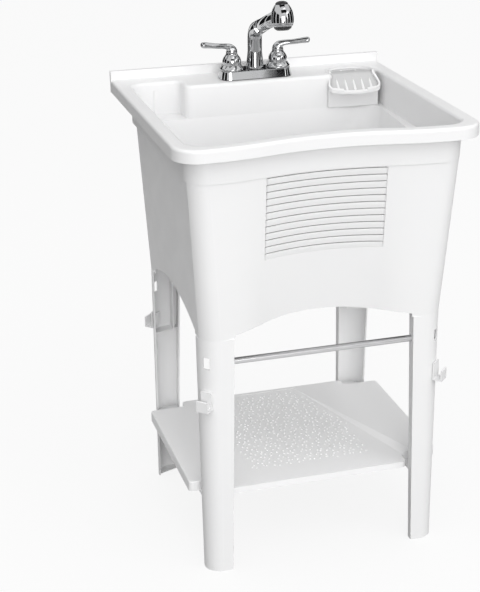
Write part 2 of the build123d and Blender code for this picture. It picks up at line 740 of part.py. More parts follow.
def make_hook():
    """The front right hook: a plate with a tongue through the slot and an upturned lip."""
    half_plate = HOOK_PLATE / 2
    foot = -half_plate
    outer = HOOK_FIT + HOOK_THICK
    tip = outer + HOOK_REACH
    points = [
        (HOOK_FIT, half_plate), (outer, half_plate), (outer, foot + HOOK_THICK),
        (tip - HOOK_THICK, foot + HOOK_THICK), (tip - HOOK_THICK, foot + HOOK_LIP),
        (tip, foot + HOOK_LIP), (tip, foot), (HOOK_FIT, foot),
    ]
    side = Face(Wire.make_polygon([(x, 0, z) for x, z in points], close=True))
    body = extrude(side, HOOK_WIDTH / 2, dir=(0, 1, 0), both=True)
    lip_edges = [e for e in body.edges().filter_by(Axis.Y) if e.center().X > outer + HOOK_ROUND]
    body = fillet(lip_edges, HOOK_ROUND)
    tongue_width = SLOT_WIDTH - 2 * HOOK_FIT
    tongue_half = SLOT_HEIGHT / 2 - HOOK_FIT
    deep = -LEG_WALL - HOOK_CATCH_ROOM
    body += block(deep, HOOK_FIT + 1, -tongue_width / 2, tongue_width / 2, -tongue_half, tongue_half)
    body += block(
        deep - HOOK_THICK, deep, -tongue_width / 2, tongue_width / 2, -tongue_half, tongue_half + HOOK_CATCH
    )
    return corner_frame(HOOK_SLOT_Z) * body


def mirrored(shape, side, end):
    """The front right piece moved to another corner."""
    if side < 0:
        shape = shape.mirror(Plane.YZ)
    if end > 0:
        shape = shape.mirror(Plane.XZ.offset(-SKIRT_MIDDLE))
    return shape


CORNERS = {"front_right": (1, -1), "front_left": (-1, -1), "back_right": (1, 1), "back_left": (-1, 1)}


def make_towel_bar():
    """A tube between the flanges of the front legs."""
    width, radius, flange, out, front = leg_size(BAR_Z)
    half = out - width + BAR_TAIL
    tube = Cylinder(BAR_R, 2 * half) - Cylinder(BAR_R - BAR_WALL, 2 * half)
    return Pos(0, front + BAR_SET_BACK, BAR_Z) * Rot(0, 90, 0) * tube


def shelf_outline():
    """Top view of the shelf: an oblong with a notch round each leg."""
    middle = (SHELF_BACK + SHELF_FRONT) / 2
    face = Pos(0, middle) * Rectangle(2 * SHELF_HALF, SHELF_BACK - SHELF_FRONT)
    width, radius, flange, out, front = leg_size(SHELF_TOP)
    side = out - width - SHELF_NOTCH_FIT
    rear = front + radius + LEG_SIDE_EXTRA + SHELF_NOTCH_BEHIND
    notch = Pos((side + RIM_HALF) / 2, (FRONT + rear) / 2) * Rectangle(RIM_HALF - side, rear - FRONT)
    for corner in CORNERS.values():
        face -= mirrored(notch, *corner)
    face = face.face()
    return face.fillet_2d(SHELF_CORNER_R, face.vertices())


def make_shelf():
    """A tray-like shelf: hollow below with ribs, dished above, notched round the legs."""
    outline = shelf_outline()
    slab = extrude(Pos(0, 0, SHELF_FOOT) * outline, SHELF_HEIGHT)
    slab = fillet(slab.edges().group_by(Axis.Z)[-1], SHELF_ROUND)
    top_skin = SHELF_DIP + SHELF_WALL
    inside = offset(outline, amount=-SHELF_WALL)
    body = slab - extrude(Pos(0, 0, SHELF_FOOT) * inside, SHELF_HEIGHT - top_skin)

    def dip(y, half, slope, depth_here):
        low = SHELF_TOP - depth_here
        high = SHELF_TOP + 1
        wide = half + slope
        points = [(-half, y, low), (half, y, low), (wide, y, high), (-wide, y, high)]
        return Wire.make_polygon(points, close=True)

    front_dip = dip(SHELF_FRONT - SHELF_DIP_LEAD, SHELF_DIP_HALF_FRONT, SHELF_DIP_SLOPE, SHELF_DIP)
    back_dip = dip(SHELF_BACK - SHELF_DIP_MARGIN, SHELF_DIP_HALF_BACK, SHELF_DIP_REAR_SLOPE, SHELF_DIP_REAR)
    body -= Solid.make_loft([front_dip, back_dip], True)
    reach = SHELF_HALF - SHELF_WALL
    for rib in range(1, SHELF_RIBS + 1):
        x = -reach + 2 * reach * rib / (SHELF_RIBS + 1)
        body += block(
            x - SHELF_RIB / 2, x + SHELF_RIB / 2, SHELF_FRONT + SHELF_WALL / 2, SHELF_BACK - SHELF_WALL / 2,
            SHELF_FOOT, SHELF_TOP - top_skin + SHELF_WALL / 2,
        )
    return body


# ---------------------------------------------------------------- soap dish


def dish_outline(inset=0.0):
    """Top view of the soap dish: a bowed lip, two lobes, a waist and a round back."""
    slant = sqrt(0.5)
    lobe_r = DISH_HALF - DISH_LIP_HALF
    rear_mid = (DISH_SHOULDER_HALF * slant, DISH_SHOULDER + (DISH_REAR - DISH_SHOULDER) * slant)
    edges = [
        Edge.make_three_point_arc(
            (-DISH_LIP_HALF, DISH_LOBE - lobe_r, 0), (0, DISH_LIP, 0), (DISH_LIP_HALF, DISH_LOBE - lobe_r, 0)
        )
    ]
    for side in (1, -1):
        path = [
            (DISH_LIP_HALF, DISH_LOBE - lobe_r), (DISH_LIP_HALF + lobe_r * slant, DISH_LOBE - lobe_r * slant),
            (DISH_HALF, DISH_LOBE),
            ((DISH_HALF + DISH_WAIST_HALF) / 2 + DISH_SWELL, (DISH_LOBE + DISH_WAIST) / 2),
            (DISH_WAIST_HALF, DISH_WAIST),
            (DISH_WAIST_HALF + DISH_SWELL, (DISH_WAIST + DISH_SHOULDER) / 2),
            (DISH_SHOULDER_HALF, DISH_SHOULDER),
            rear_mid, (0, DISH_REAR),
        ]
        points = [(side * x, y, 0) for x, y in path]
        for start in (0, 2, 4, 6):
            edges.append(Edge.make_three_point_arc(*points[start:start + 3]))
    face = Face(Wire(edges))
    if inset:
        face = offset(face, amount=-inset)
    return face


def dish_band(high, low):
    """A slab between two depths below the dish's rim, level behind and falling in front."""
    front = DISH_LIP - DISH_RIM_WIDTH
    fall = DISH_FALL * (DISH_KNEE - front) / (DISH_KNEE - DISH_LIP)
    rear = DISH_REAR + DISH_RIM_WIDTH
    path = [(rear, 0), (DISH_KNEE, 0), (front, -fall)]
    points = [(0, y, z - high) for y, z in path] + [(0, y, z - low) for y, z in reversed(path)]
    side = Face(Wire.make_polygon(points, close=True))
    return extrude(side, DISH_HALF + 1, dir=(1, 0, 0), both=True)


def make_dish():
    """Lift-out soap dish: a tray on the rim whose ribbed front drains over the bowl."""
    rim_top = GAP + DISH_RIM
    tall = 2 * DISH_FALL
    outside = Pos(0, 0, -tall) * extrude(dish_outline(), 2 * tall)
    inside = Pos(0, 0, -tall) * extrude(dish_outline(DISH_RIM_WIDTH), 2 * tall)
    floor = DISH_DEPTH + DISH_FLOOR
    body = (outside - inside) & dish_band(0, floor)
    body += outside & dish_band(DISH_DEPTH, floor)
    start = DISH_LIP + DISH_RIM_WIDTH + DISH_RIB_R + DISH_RIB_BACK
    for rib in range(DISH_RIBS):
        x = (rib - (DISH_RIBS - 1) / 2) * DISH_RIB_PITCH
        left = (x - DISH_RIB_R, start, 0)
        right = (x + DISH_RIB_R, start, 0)
        tip = (x, start + DISH_RIB_LENGTH, 0)
        rib_face = Face(Wire([
            Edge.make_three_point_arc(left, (x, start - DISH_RIB_R, 0), right),
            Edge.make_line(right, tip), Edge.make_line(tip, left),
        ]))
        raised = dish_band(DISH_DEPTH - DISH_RIB_HEIGHT, DISH_DEPTH + DISH_FLOOR / 2)
        body += Pos(0, 0, -tall) * extrude(rib_face, 2 * tall) & raised
    slot = extrude(SlotOverall(DISH_SLOT, DISH_SLOT_WIDTH), 2 * tall)
    body -= Pos(0, DISH_SLOT_Y, -tall) * slot
    notch = block(-DISH_NOTCH / 2, DISH_NOTCH / 2, 2 * DISH_LIP, DISH_LOBE, -tall, tall)
    body -= notch & dish_band(-tall, DISH_NOTCH_DROP)
    drop = RIM_TOP - LEDGE + DISH_RIM
    frame = block(
        -DISH_APRON_HALF, DISH_APRON_HALF, DISH_APRON_Y - DISH_PLATE, DISH_APRON_Y, -drop, 0
    )
    for side in (-1, 1):
        x = side * DISH_GUSSET_HALF
        frame += block(x - DISH_PLATE / 2, x + DISH_PLATE / 2, DISH_APRON_Y - 1, DISH_GUSSET_BACK, -drop, 0)
    wide = block(-DISH_HALF, DISH_HALF, DISH_LIP, DISH_REAR, -drop, 0)
    body += frame & wide & dish_band(DISH_DEPTH + DISH_FLOOR / 2, 4 * tall)
    dish = Pos(DISH_X, DECK_FRONT + DISH_AHEAD, RIM_TOP + rim_top) * Rot(0, 0, DISH_TURN) * body
    low = LEDGE - 1
    seat = RIM_TOP + GAP
    dish -= block(0, DECK_HALF + GAP, DECK_FRONT - GAP, BACK, low, seat)
    dish -= block(0, COLLAR_HALF, COLLAR_REAR - TUB_WALL - GAP, BACK, low, seat)
    return dish


# ---------------------------------------------------------------- faucet


def make_gasket():
    """Soft sheet between the faucet's base and the deck."""
    sheet = extrude(
        RectangleRounded(
            BASE_LENGTH - 2 * GASKET_INSET, BASE_DEPTH - 2 * GASKET_INSET, BASE_R - GASKET_INSET
        ),
        GASKET_THICK - GAP,
    )
    for x in (-CENTRES / 2, 0, CENTRES / 2):
        sheet -= Pos(x, 0, 0) * Cylinder(SHANK_HOLE_R, 4 * GASKET_THICK)
    return Pos(0, FAUCET_Y, RIM_TOP + GAP / 2) * sheet


def make_base():
    """Hollow chrome base with three holes in its top."""
    outer = extrude(RectangleRounded(BASE_LENGTH, BASE_DEPTH, BASE_R), BASE_HEIGHT, taper=BASE_DRAFT)
    outer = fillet(outer.edges().group_by(Axis.Z)[-1], BASE_ROUND)
    inner = extrude(
        RectangleRounded(BASE_LENGTH - 2 * BASE_WALL, BASE_DEPTH - 2 * BASE_WALL, BASE_R - BASE_WALL),
        BASE_HEIGHT - BASE_WALL, taper=BASE_DRAFT,
    )
    body = outer - inner
    for x in (-CENTRES / 2, CENTRES / 2):
        body -= Pos(x, 0, 0) * Cylinder(SHANK_R + GAP, 4 * BASE_HEIGHT)
    body -= Cylinder(BUSH_R + GAP, 4 * BASE_HEIGHT)
    return Pos(0, FAUCET_Y, BASE_SEAT) * body


def make_valve(x):
    """Brass valve body: a threaded shank below the deck, a flange and a neck for the stem."""
    under = BASE_TOP - BASE_WALL - GAP
    foot = RIM_TOP - SHANK_DROP
    seat = BASE_TOP - STEM_FOOT - GAP
    neck = BASE_TOP + NECK_HEIGHT
    groove_r = SHANK_R - SHANK_GROOVE_DEEP
    profile = [
        (SHANK_BORE_R, foot), (SHANK_R, foot), (SHANK_R, SHANK_NUT_FOOT - SHANK_GROOVE),
        (groove_r, SHANK_NUT_FOOT - SHANK_GROOVE), (groove_r, SHANK_NUT_FOOT), (SHANK_R, SHANK_NUT_FOOT),
        (SHANK_R, under - SHANK_FLANGE),
        (SHANK_FLANGE_R, under - SHANK_FLANGE), (SHANK_FLANGE_R, under), (SHANK_R, under),
        (SHANK_R, neck), (STEM_R + RUN_FIT, neck), (STEM_R + RUN_FIT, seat), (SHANK_BORE_R / 2, seat),
        (SHANK_BORE_R / 2, seat - SHANK_FLANGE), (SHANK_BORE_R, seat - SHANK_FLANGE - SHANK_BORE_R / 2),
    ]
    return turned(profile, x, FAUCET_Y)


def make_nut(x):
    """Winged plastic nut that clamps a shank under the deck."""
    body = Pos(0, 0, NUT_HEIGHT / 2) * Cylinder(NUT_R, NUT_HEIGHT)
    for wing in range(NUT_WINGS):
        fin = Pos(NUT_R, 0, NUT_HEIGHT / 2) * Box(2 * NUT_WING, NUT_WING, NUT_HEIGHT)
        body += Rot(0, 0, wing * 360 / NUT_WINGS) * fin
    body -= Cylinder(SHANK_R + GAP, 4 * NUT_HEIGHT)
    return Pos(x, FAUCET_Y, SHANK_NUT_FOOT) * body


def make_bell(x):
    """Two-tier chrome bell over a valve's neck."""
    foot = BASE_TOP + GAP
    step = foot + BELL_STEP
    top = foot + BELL_HEIGHT
    waist = (step + top) / 2
    hole = SHANK_R + GAP
    lip = STEM_R + BELL_WALL
    profile = [
        (BELL_R - BELL_WALL, foot), (BELL_R, foot), (BELL_R, step - BELL_WALL), (BELL_R - BELL_WALL, step),
        (BELL_STEP_R, step), (BELL_STEP_R - BELL_BEVEL, step + BELL_WALL),
        (BELL_STEP_R - BELL_WALL, waist - BELL_WALL), (BELL_TOP_R + BELL_BEVEL, top - BELL_WALL),
        (BELL_TOP_R, top), (lip, top), (lip, top - BELL_WALL), (hole, top - 2 * BELL_WALL), (hole, waist),
        (hole + BELL_WALL, step), (BELL_R - 2 * BELL_WALL, step - BELL_WALL),
    ]
    return turned(profile, x, FAUCET_Y)


def make_stem(x):
    """Turning stem of a valve, from its seat up into the lever's hub."""
    foot = BASE_TOP - STEM_FOOT
    return Pos(x, FAUCET_Y, foot + (STEM_FOOT + STEM_HEAD) / 2) * Cylinder(STEM_R, STEM_FOOT + STEM_HEAD)


# Along the blade: share of its length, of its width and height, and of its rise
BLADE_STATIONS = (
    (0.0, 0.8, 0.9, -0.4),
    (0.3, 0.9, 0.95, 0.0),
    (0.65, 1.0, 0.9, 0.5),
    (0.97, 1.05, 0.95, 1.0),
    (1.0, 0.8, 0.7, 1.0),
)


def make_lever():
    """Right-hand lever: a domed hub with a blade that sweeps out, forwards and a little up."""
    hub_foot = BASE_TOP + GAP + BELL_HEIGHT + GAP
    hub_top = hub_foot + LEVER_HUB_HEIGHT
    hub = turned([
        (0, hub_foot), (LEVER_HUB_R - LEVER_HUB_WAIST, hub_foot),
        (LEVER_HUB_R - LEVER_HUB_BELLY, hub_foot + LEVER_HUB_HEIGHT / 2),
        (LEVER_HUB_R - 2 * LEVER_HUB_BELLY, hub_top - LEVER_HUB_DOME),
        (LEVER_HUB_R - LEVER_HUB_DOME, hub_top - LEVER_HUB_CAP), (0, hub_top),
    ])
    mid = hub_top - LEVER_HALF_HEIGHT - LEVER_BELOW_CROWN
    sections = []
    for share, wide, tall, rise in BLADE_STATIONS:
        ring = Ellipse(LEVER_HALF_WIDTH * wide, LEVER_HALF_HEIGHT * tall)
        place = Plane(
            origin=(LEVER_LENGTH * share, 0, mid + LEVER_RISE * rise), x_dir=(0, 1, 0), z_dir=(1, 0, 0)
        )
        sections.append((place * ring).face().outer_wire())
    blade = Solid.make_loft(sections)
    body = hub + Rot(0, 0, -LEVER_SWEEP) * blade
    stem_head = BASE_TOP + STEM_HEAD + GAP
    body -= Pos(0, 0, (hub_foot + stem_head) / 2) * Cylinder(STEM_R + RUN_FIT, stem_head - hub_foot)
    body -= Pos(0, LEVER_HUB_R / 2, screw_level()) * Rot(90, 0, 0) * Cylinder(SCREW_R + RUN_FIT, LEVER_HUB_R)
    return body


def screw_level():
    """Height of the grub screw that holds a lever on its stem."""
    return BASE_TOP + BELL_HEIGHT + LEVER_HUB_HEIGHT / 3


def make_lever_screw():
    """Grub screw at the back of a lever's hub."""
    near = STEM_R + RUN_FIT
    length = LEVER_HUB_R - 2 * LEVER_HUB_BELLY - near
    body = Cylinder(SCREW_R, length)
    hexagon = extrude(RegularPolygon(SCREW_HEX, 6), length / 2)
    body -= Pos(0, 0, length / 2 - length / 3) * hexagon
    return Pos(0, near + length / 2, screw_level()) * Rot(-90, 0, 0) * body


def on_valve(shape, side):
    """A right-hand valve piece moved onto the right (1) or left (-1) valve."""
    if side < 0:
        shape = shape.mirror(Plane.YZ)
    return Pos(side * CENTRES / 2, FAUCET_Y, 0) * shape


def make_bushing():
    """Tube in the middle of the base on which the spout turns."""
    under = BASE_TOP - BASE_WALL - GAP
    foot = under - SHANK_FLANGE
    top = BASE_TOP + SPIGOT_NECK
    profile = [
        (BUSH_BORE_R, foot), (SHANK_FLANGE_R, foot), (SHANK_FLANGE_R, under), (BUSH_R, under),
        (BUSH_R, top), (BUSH_BORE_R, top),
    ]
    return turned(profile, 0, FAUCET_Y)


def arm_point(reach, lift=0.0):
    """A point on the arm's axis, at a distance from the corner where it leaves the column."""
    tilt = radians(ARM_ANGLE)
    return (
        0, FAUCET_Y - reach * cos(tilt) + lift * sin(tilt), ARM_AXIS_Z + reach * sin(tilt) + lift * cos(tilt)
    )


def arm_plane(reach):
    """The plane square to the arm at a distance from its corner, facing outwards."""
    tilt = radians(ARM_ANGLE)
    return Plane(origin=arm_point(reach), x_dir=(1, 0, 0), z_dir=(0, -cos(tilt), sin(tilt)))


def arm_rod(radius, start, end):
    """A round bar along the arm between two distances from its corner."""
    return extrude((arm_plane(start) * Circle(radius)).face(), end - start)


def spout_run(radius, foot, end):
    """A bent round bar up the column and out along the arm."""
    turn = radians(90 - ARM_ANGLE)
    setback = ARM_BEND_R * tan(turn / 2)
    start = (0, FAUCET_Y, foot)
    knee = (0, FAUCET_Y, ARM_AXIS_Z - setback)
    centre_y = FAUCET_Y - ARM_BEND_R
    bow = (0, centre_y + ARM_BEND_R * cos(turn / 2), ARM_AXIS_Z - setback + ARM_BEND_R * sin(turn / 2))
    out = arm_point(setback)
    path = Wire([
        Edge.make_line(start, knee), Edge.make_three_point_arc(knee, bow, out),
        Edge.make_line(out, arm_point(end)),
    ])
    ring = (Plane(origin=start, z_dir=(0, 0, 1)) * Circle(radius)).face()
    return sweep(ring, path=path)


def make_spout():
    """Flared column, bend and arm, hollow for the hose, with a socket at the arm's end."""
    foot = BASE_TOP + GAP
    flare_top = foot + SPOUT_FLARE
    swell = (SPOUT_FLARE_R - SPOUT_R) * SPOUT_FLARE_SHARE
    flare = turned([
        (0, foot), (SPOUT_FLARE_R, foot), (SPOUT_FLARE_R, foot + SPOUT_FOOT),
        (SPOUT_R + swell, foot + SPOUT_FLARE / 3), (SPOUT_R, flare_top), (0, flare_top),
    ], 0, FAUCET_Y)
    body = flare + spout_run(SPOUT_R, foot + 1, ARM_LENGTH)
    body -= spout_run(SPOUT_R - SPOUT_WALL, foot - 1, ARM_LENGTH + 1)
    body -= Pos(0, FAUCET_Y, foot + (SPIGOT_NECK - 1) / 2) * Cylinder(BUSH_R + RUN_FIT, SPIGOT_NECK + 1)
    body -= arm_rod(SOCKET_R, ARM_LENGTH - SOCKET_DEPTH, ARM_LENGTH + 1)
    return body


def head_place():
    """Where the spray head stands, with its axis leaning forwards."""
    return Pos(*arm_point(WAND_REACH)) * Rot(-HEAD_LEAN, 0, 0)


# Up the barrel from its widest ring: share of its height and of its fall to the top's radius
BARREL_STATIONS = (
    (0.0, 0.0), (0.16, 0.015), (0.32, 0.065), (0.48, 0.165), (0.63, 0.32), (0.76, 0.5), (0.88, 0.72),
    (1.0, 1.0),
)


def make_wand():
    """Pull-out spray: a spigot, a tube and the barrel-shaped head."""
    joint = ARM_LENGTH + GAP
    body = arm_rod(WAND_R, joint, WAND_REACH)
    body += arm_rod(SOCKET_R - RUN_FIT, joint - SPIGOT_LENGTH, joint + 1)
    fall = HEAD_R - HEAD_TOP_R
    climb = HEAD_TOP - HEAD_GIRTH
    barrel = turned(
        [(0, HEAD_FOOT), (HEAD_FOOT_R, HEAD_FOOT)]
        + [((3 * HEAD_R + HEAD_FOOT_R) / 4, (HEAD_FOOT + HEAD_GIRTH) / 2)]
        + [(HEAD_R - fall * inwards, HEAD_GIRTH + climb * up) for up, inwards in BARREL_STATIONS]
        + [(0, HEAD_TOP)]
    )
    body += head_place() * barrel
    body -= arm_rod(WAND_BORE_R, joint - SPIGOT_LENGTH - 1, WAND_REACH)
    pocket = BUTTON_HEIGHT - BUTTON_STAND + BUTTON_TRAVEL + GAP
    well = Pos(0, 0, HEAD_TOP - pocket / 2 + 1) * Cylinder(BUTTON_R + RUN_FIT, pocket + 2)
    water = Pos(0, 0, HEAD_FOOT / 2) * Cylinder(WATER_BORE_R, -HEAD_FOOT + 2)
    plug = FACE_PLUG + GAP
    seat = Pos(0, 0, HEAD_FOOT + plug / 2 - 1) * Cylinder(FACE_PLUG_R + GAP, plug + 2)
    body -= head_place() * (well + water + seat)
    return body


def make_button():
    """Domed button on top of the spray head."""
    foot = HEAD_TOP + BUTTON_STAND - BUTTON_HEIGHT
    top = HEAD_TOP + BUTTON_STAND
    cap = turned([
        (0, foot), (BUTTON_R, foot), (BUTTON_R, top - BUTTON_DOME),
        (BUTTON_R - BUTTON_BEVEL, top - BUTTON_DOME * 2 / 3),
        (BUTTON_R - 3 * BUTTON_BEVEL, top - BUTTON_DOME / 3),
        (BUTTON_R / 3, top - BUTTON_DOME / 12), (0, top),
    ])
    return head_place() * cap


def make_ring():
    """Bright ring between the barrel and the spray face."""
    top = HEAD_FOOT - GAP
    hole = FACE_PLUG_R + GAP
    belly = (2 * HEAD_FOOT_R + RING_FOOT_R) / 3
    return head_place() * turned([
        (hole, top - RING_HEIGHT), (RING_FOOT_R - RING_BEVEL, top - RING_HEIGHT),
        (RING_FOOT_R, top - RING_HEIGHT + RING_BEVEL), (belly, top - RING_HEIGHT / 2),
        (HEAD_FOOT_R - RING_BEVEL / 2, top - RING_BEVEL), (HEAD_FOOT_R - RING_BEVEL, top), (hole, top),
    ])


def make_face():
    """Dark spray face with a ring of holes."""
    top = HEAD_FOOT - GAP - RING_HEIGHT - GAP
    crown = HEAD_FOOT + FACE_PLUG - GAP
    rim = RING_FOOT_R - FACE_SET_IN
    body = turned([
        (0, top - FACE_HEIGHT), (FACE_END_R, top - FACE_HEIGHT),
        (FACE_END_R + FACE_BEVEL, top - FACE_HEIGHT + FACE_BEVEL),
        (rim - FACE_BEVEL, top - FACE_HEIGHT / 2), (rim, top),
        (FACE_PLUG_R, top), (FACE_PLUG_R, crown), (0, crown),
    ])
    for hole in range(FACE_HOLES):
        drill = Pos(FACE_PLUG_R * FACE_HOLE_SHARE, 0, 0) * Cylinder(FACE_HOLE_R, 6 * HEAD_TOP)
        body -= Rot(0, 0, hole * 360 / FACE_HOLES) * drill
    return head_place() * body


# ---------------------------------------------------------------- waste outlet


def make_drain():
    """Flanged strainer body through the bowl's floor."""
    seat = FLOOR_TOP + GAP
    top = seat + DRAIN_FLANGE
    foot = FLOOR_TOP - DRAIN_DROP
    body = turned([
        (DRAIN_BORE_R, foot), (DRAIN_TUBE_R, foot), (DRAIN_TUBE_R, seat), (DRAIN_FLANGE_R, seat),
        (DRAIN_FLANGE_R - DRAIN_BEVEL, top), (DRAIN_BORE_R + DRAIN_MOUTH_FLARE, top),
        (DRAIN_BORE_R, top - DRAIN_MOUTH),
    ])
    for angle in (0, 90):
        bar = Pos(0, 0, foot + DRAIN_DROP / 2) * Box(2 * DRAIN_BORE_R + 1, DRAIN_BAR, DRAIN_BAR)
        body += Rot(0, 0, angle) * bar
    return body


def make_stopper():
    """Tapered rubber stopper with a knob."""
    seat = FLOOR_TOP + GAP + DRAIN_FLANGE
    foot = seat - STOPPER_DEPTH
    base_r = DRAIN_BORE_R - GAP
    lip_r = DRAIN_BORE_R + STOPPER_LIP
    plate = seat + STOPPER_PLATE
    head = seat + STOPPER_KNOB
    neck_r = STOPPER_KNOB_R - STOPPER_NECK
    return turned([
        (0, foot), (base_r - STOPPER_BEVEL, foot), (base_r, foot + 2 * STOPPER_BEVEL), (base_r, seat + GAP),
        (lip_r, seat + GAP), (lip_r - STOPPER_BEVEL, plate), (neck_r, plate + STOPPER_BEVEL / 2),
        (neck_r, plate + STOPPER_NECK), (STOPPER_KNOB_R, head - STOPPER_BEVEL),
        (STOPPER_KNOB_R - STOPPER_BEVEL, head), (0, head),
    ])


def make_drain_gasket():
    """Rubber washer under the bowl's floor."""
    top = FLOOR_TOP - TUB_WALL - GAP
    return turned([
        (DRAIN_TUBE_R + GAP, top - DRAIN_GASKET), (DRAIN_GASKET_R, top - DRAIN_GASKET), (DRAIN_GASKET_R, top),
        (DRAIN_TUBE_R + GAP, top),
    ])


def make_drain_nut():
    """Large nut that pulls the strainer body down."""
    top = FLOOR_TOP - TUB_WALL - GAP - DRAIN_GASKET - GAP
    body = extrude(RegularPolygon(DRAIN_NUT_R, NUT_SIDES), DRAIN_NUT)
    body -= Cylinder(DRAIN_TUBE_R + GAP, 4 * DRAIN_NUT)
    return Pos(0, 0, top - DRAIN_NUT) * body


def make_tailpiece():
    """Straight outlet pipe with a bead that stops below the coupling nut."""
    top = FLOOR_TOP - DRAIN_DROP + TAIL_LAP
    foot = top - TAIL_LENGTH
    inner = WASTE_R - WASTE_WALL
    bead_top = TAIL_NUT_FOOT - GAP
    bead_foot = bead_top - TAIL_BEAD_HEIGHT
    return turned([
        (inner, foot), (WASTE_R, foot), (WASTE_R, bead_foot),
        (WASTE_R + TAIL_BEAD, bead_foot + TAIL_BEAD_HEIGHT / 3),
        (WASTE_R + TAIL_BEAD, bead_top - TAIL_BEAD_HEIGHT / 3),
        (WASTE_R, bead_top), (WASTE_R, top), (inner, top),
    ])


def make_tail_nut():
    """Coupling nut that holds the outlet pipe on the strainer body."""
    hold = FLOOR_TOP - DRAIN_DROP - GAP
    top = TAIL_NUT_FOOT + TAIL_NUT
    body = Pos(0, 0, TAIL_NUT_FOOT) * extrude(RegularPolygon(TAIL_NUT_R, NUT_SIDES), TAIL_NUT)
    body -= turned([(0, hold), (DRAIN_TUBE_R + GAP, hold), (DRAIN_TUBE_R + GAP, top + 1), (0, top + 1)])
    body -= Pos(0, 0, TAIL_NUT_FOOT) * Cylinder(WASTE_R + GAP, 4 * TAIL_NUT)
    return body


# ---------------------------------------------------------------- nodes

save("tub_basin", make_tub())
save("skirt", make_skirt())
leg = make_leg()
hook = make_hook()
for place, (side, end) in CORNERS.items():
    save("leg_" + place, mirrored(leg, side, end))
    save("hook_" + place, mirrored(hook, side, end))
save("towel_bar", make_towel_bar())
save("storage_shelf", make_shelf())
save("soap_dish", make_dish())

save("faucet_gasket", make_gasket())
save("faucet_base", make_base())
save("shank_nuts", Compound([make_nut(-CENTRES / 2), make_nut(CENTRES / 2)]))
lever = make_lever()
lever_screw = make_lever_screw()
for name, side in (("hot", -1), ("cold", 1)):
    valve_x = side * CENTRES / 2
    save("valve_body_" + name, make_valve(valve_x))
    save("valve_bell_" + name, make_bell(valve_x))
    save("valve_stem_" + name, make_stem(valve_x))
    save("lever_" + name, on_valve(lever, side))
    save("lever_screw_" + name, on_valve(lever_screw, side))
save("spout_bushing", make_bushing())
save("spout", make_spout())
save("spray_wand", make_wand())
save("spray_button", make_button())
save("head_ring", make_ring())
save("spray_face", make_face())

save("drain_body", make_drain())
save("drain_stopper", make_stopper())
save("drain_gasket", make_drain_gasket())
save("drain_nut", make_drain_nut())
save("tailpiece", make_tailpiece())
save("tail_nut", make_tail_nut())
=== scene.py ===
"""Looks of a moulded laundry sink on clip-in legs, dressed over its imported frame.

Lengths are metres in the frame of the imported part: the origin is on the floor below the middle
of the tub, +X is right, -Y is the front and +Z is up. Tables of profiles and outlines are in
millimetres, and MM turns them into metres.
"""

import logging
import math
from dataclasses import dataclass
from enum import Enum
from typing import Iterable, Sequence

import bpy
import numpy as np
from mathutils import Matrix

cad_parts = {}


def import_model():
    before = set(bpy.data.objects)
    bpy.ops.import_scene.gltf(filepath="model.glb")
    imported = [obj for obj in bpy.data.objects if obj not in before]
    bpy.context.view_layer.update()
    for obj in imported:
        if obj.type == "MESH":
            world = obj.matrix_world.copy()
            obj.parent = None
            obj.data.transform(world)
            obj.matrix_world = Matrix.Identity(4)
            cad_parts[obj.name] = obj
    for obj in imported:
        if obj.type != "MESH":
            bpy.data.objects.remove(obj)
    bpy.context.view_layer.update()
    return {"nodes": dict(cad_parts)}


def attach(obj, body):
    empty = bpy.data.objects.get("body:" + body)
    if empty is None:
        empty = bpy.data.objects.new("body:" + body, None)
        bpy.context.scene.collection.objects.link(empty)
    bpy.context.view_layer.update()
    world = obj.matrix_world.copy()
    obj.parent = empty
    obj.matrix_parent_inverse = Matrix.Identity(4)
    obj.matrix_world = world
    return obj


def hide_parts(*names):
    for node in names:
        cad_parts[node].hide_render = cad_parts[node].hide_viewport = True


LOG = logging.getLogger("laundry_sink")

Array = np.ndarray
Colour = tuple[float, float, float]
Node = bpy.types.Node
Point = tuple[float, float, float]
Socket = bpy.types.NodeSocket

MM = 0.001
# A quarter turn, and the directions to the right and upwards
QUARTER = math.pi / 2
RIGHT = np.array([1.0, 0.0, 0.0])
UP = np.array([0.0, 0.0, 1.0])
# Points nearer to each other than the first count as one, and nothing is divided by less than the second
SAME_POINT = 1e-7
LEAST_LENGTH = 1e-9


# ---------------------------------------------------------------- surfaces


def smooth_line(points: Sequence[Sequence[float]], steps: int) -> Array:
    """A smooth line through points.

    Formula: between two neighbours the line is the cubic that meets both, and its slope at each of
    them is half the difference of the points on either side. The line goes straight on at its ends.

    Args:
        points: the points in order, each with any number of coordinates.
        steps: how many points each run gets.

    Returns:
        The points of the line, one row each.
    """
    knots = np.asarray(points, dtype=float)
    padded = np.vstack([2 * knots[0] - knots[1], knots, 2 * knots[-1] - knots[-2]])
    before, start, end, after = (padded[i:len(knots) - 1 + i, None, :] for i in range(4))
    share = np.linspace(0.0, 1.0, steps, endpoint=False)[None, :, None]
    line = (
        (2 * share**3 - 3 * share**2 + 1) * start
        + (share**3 - 2 * share**2 + share) * (end - before) / 2
        + (3 * share**2 - 2 * share**3) * end
        + (share**3 - share**2) * (after - start) / 2
    )
    return np.vstack([line.reshape(-1, knots.shape[1]), knots[-1:]])


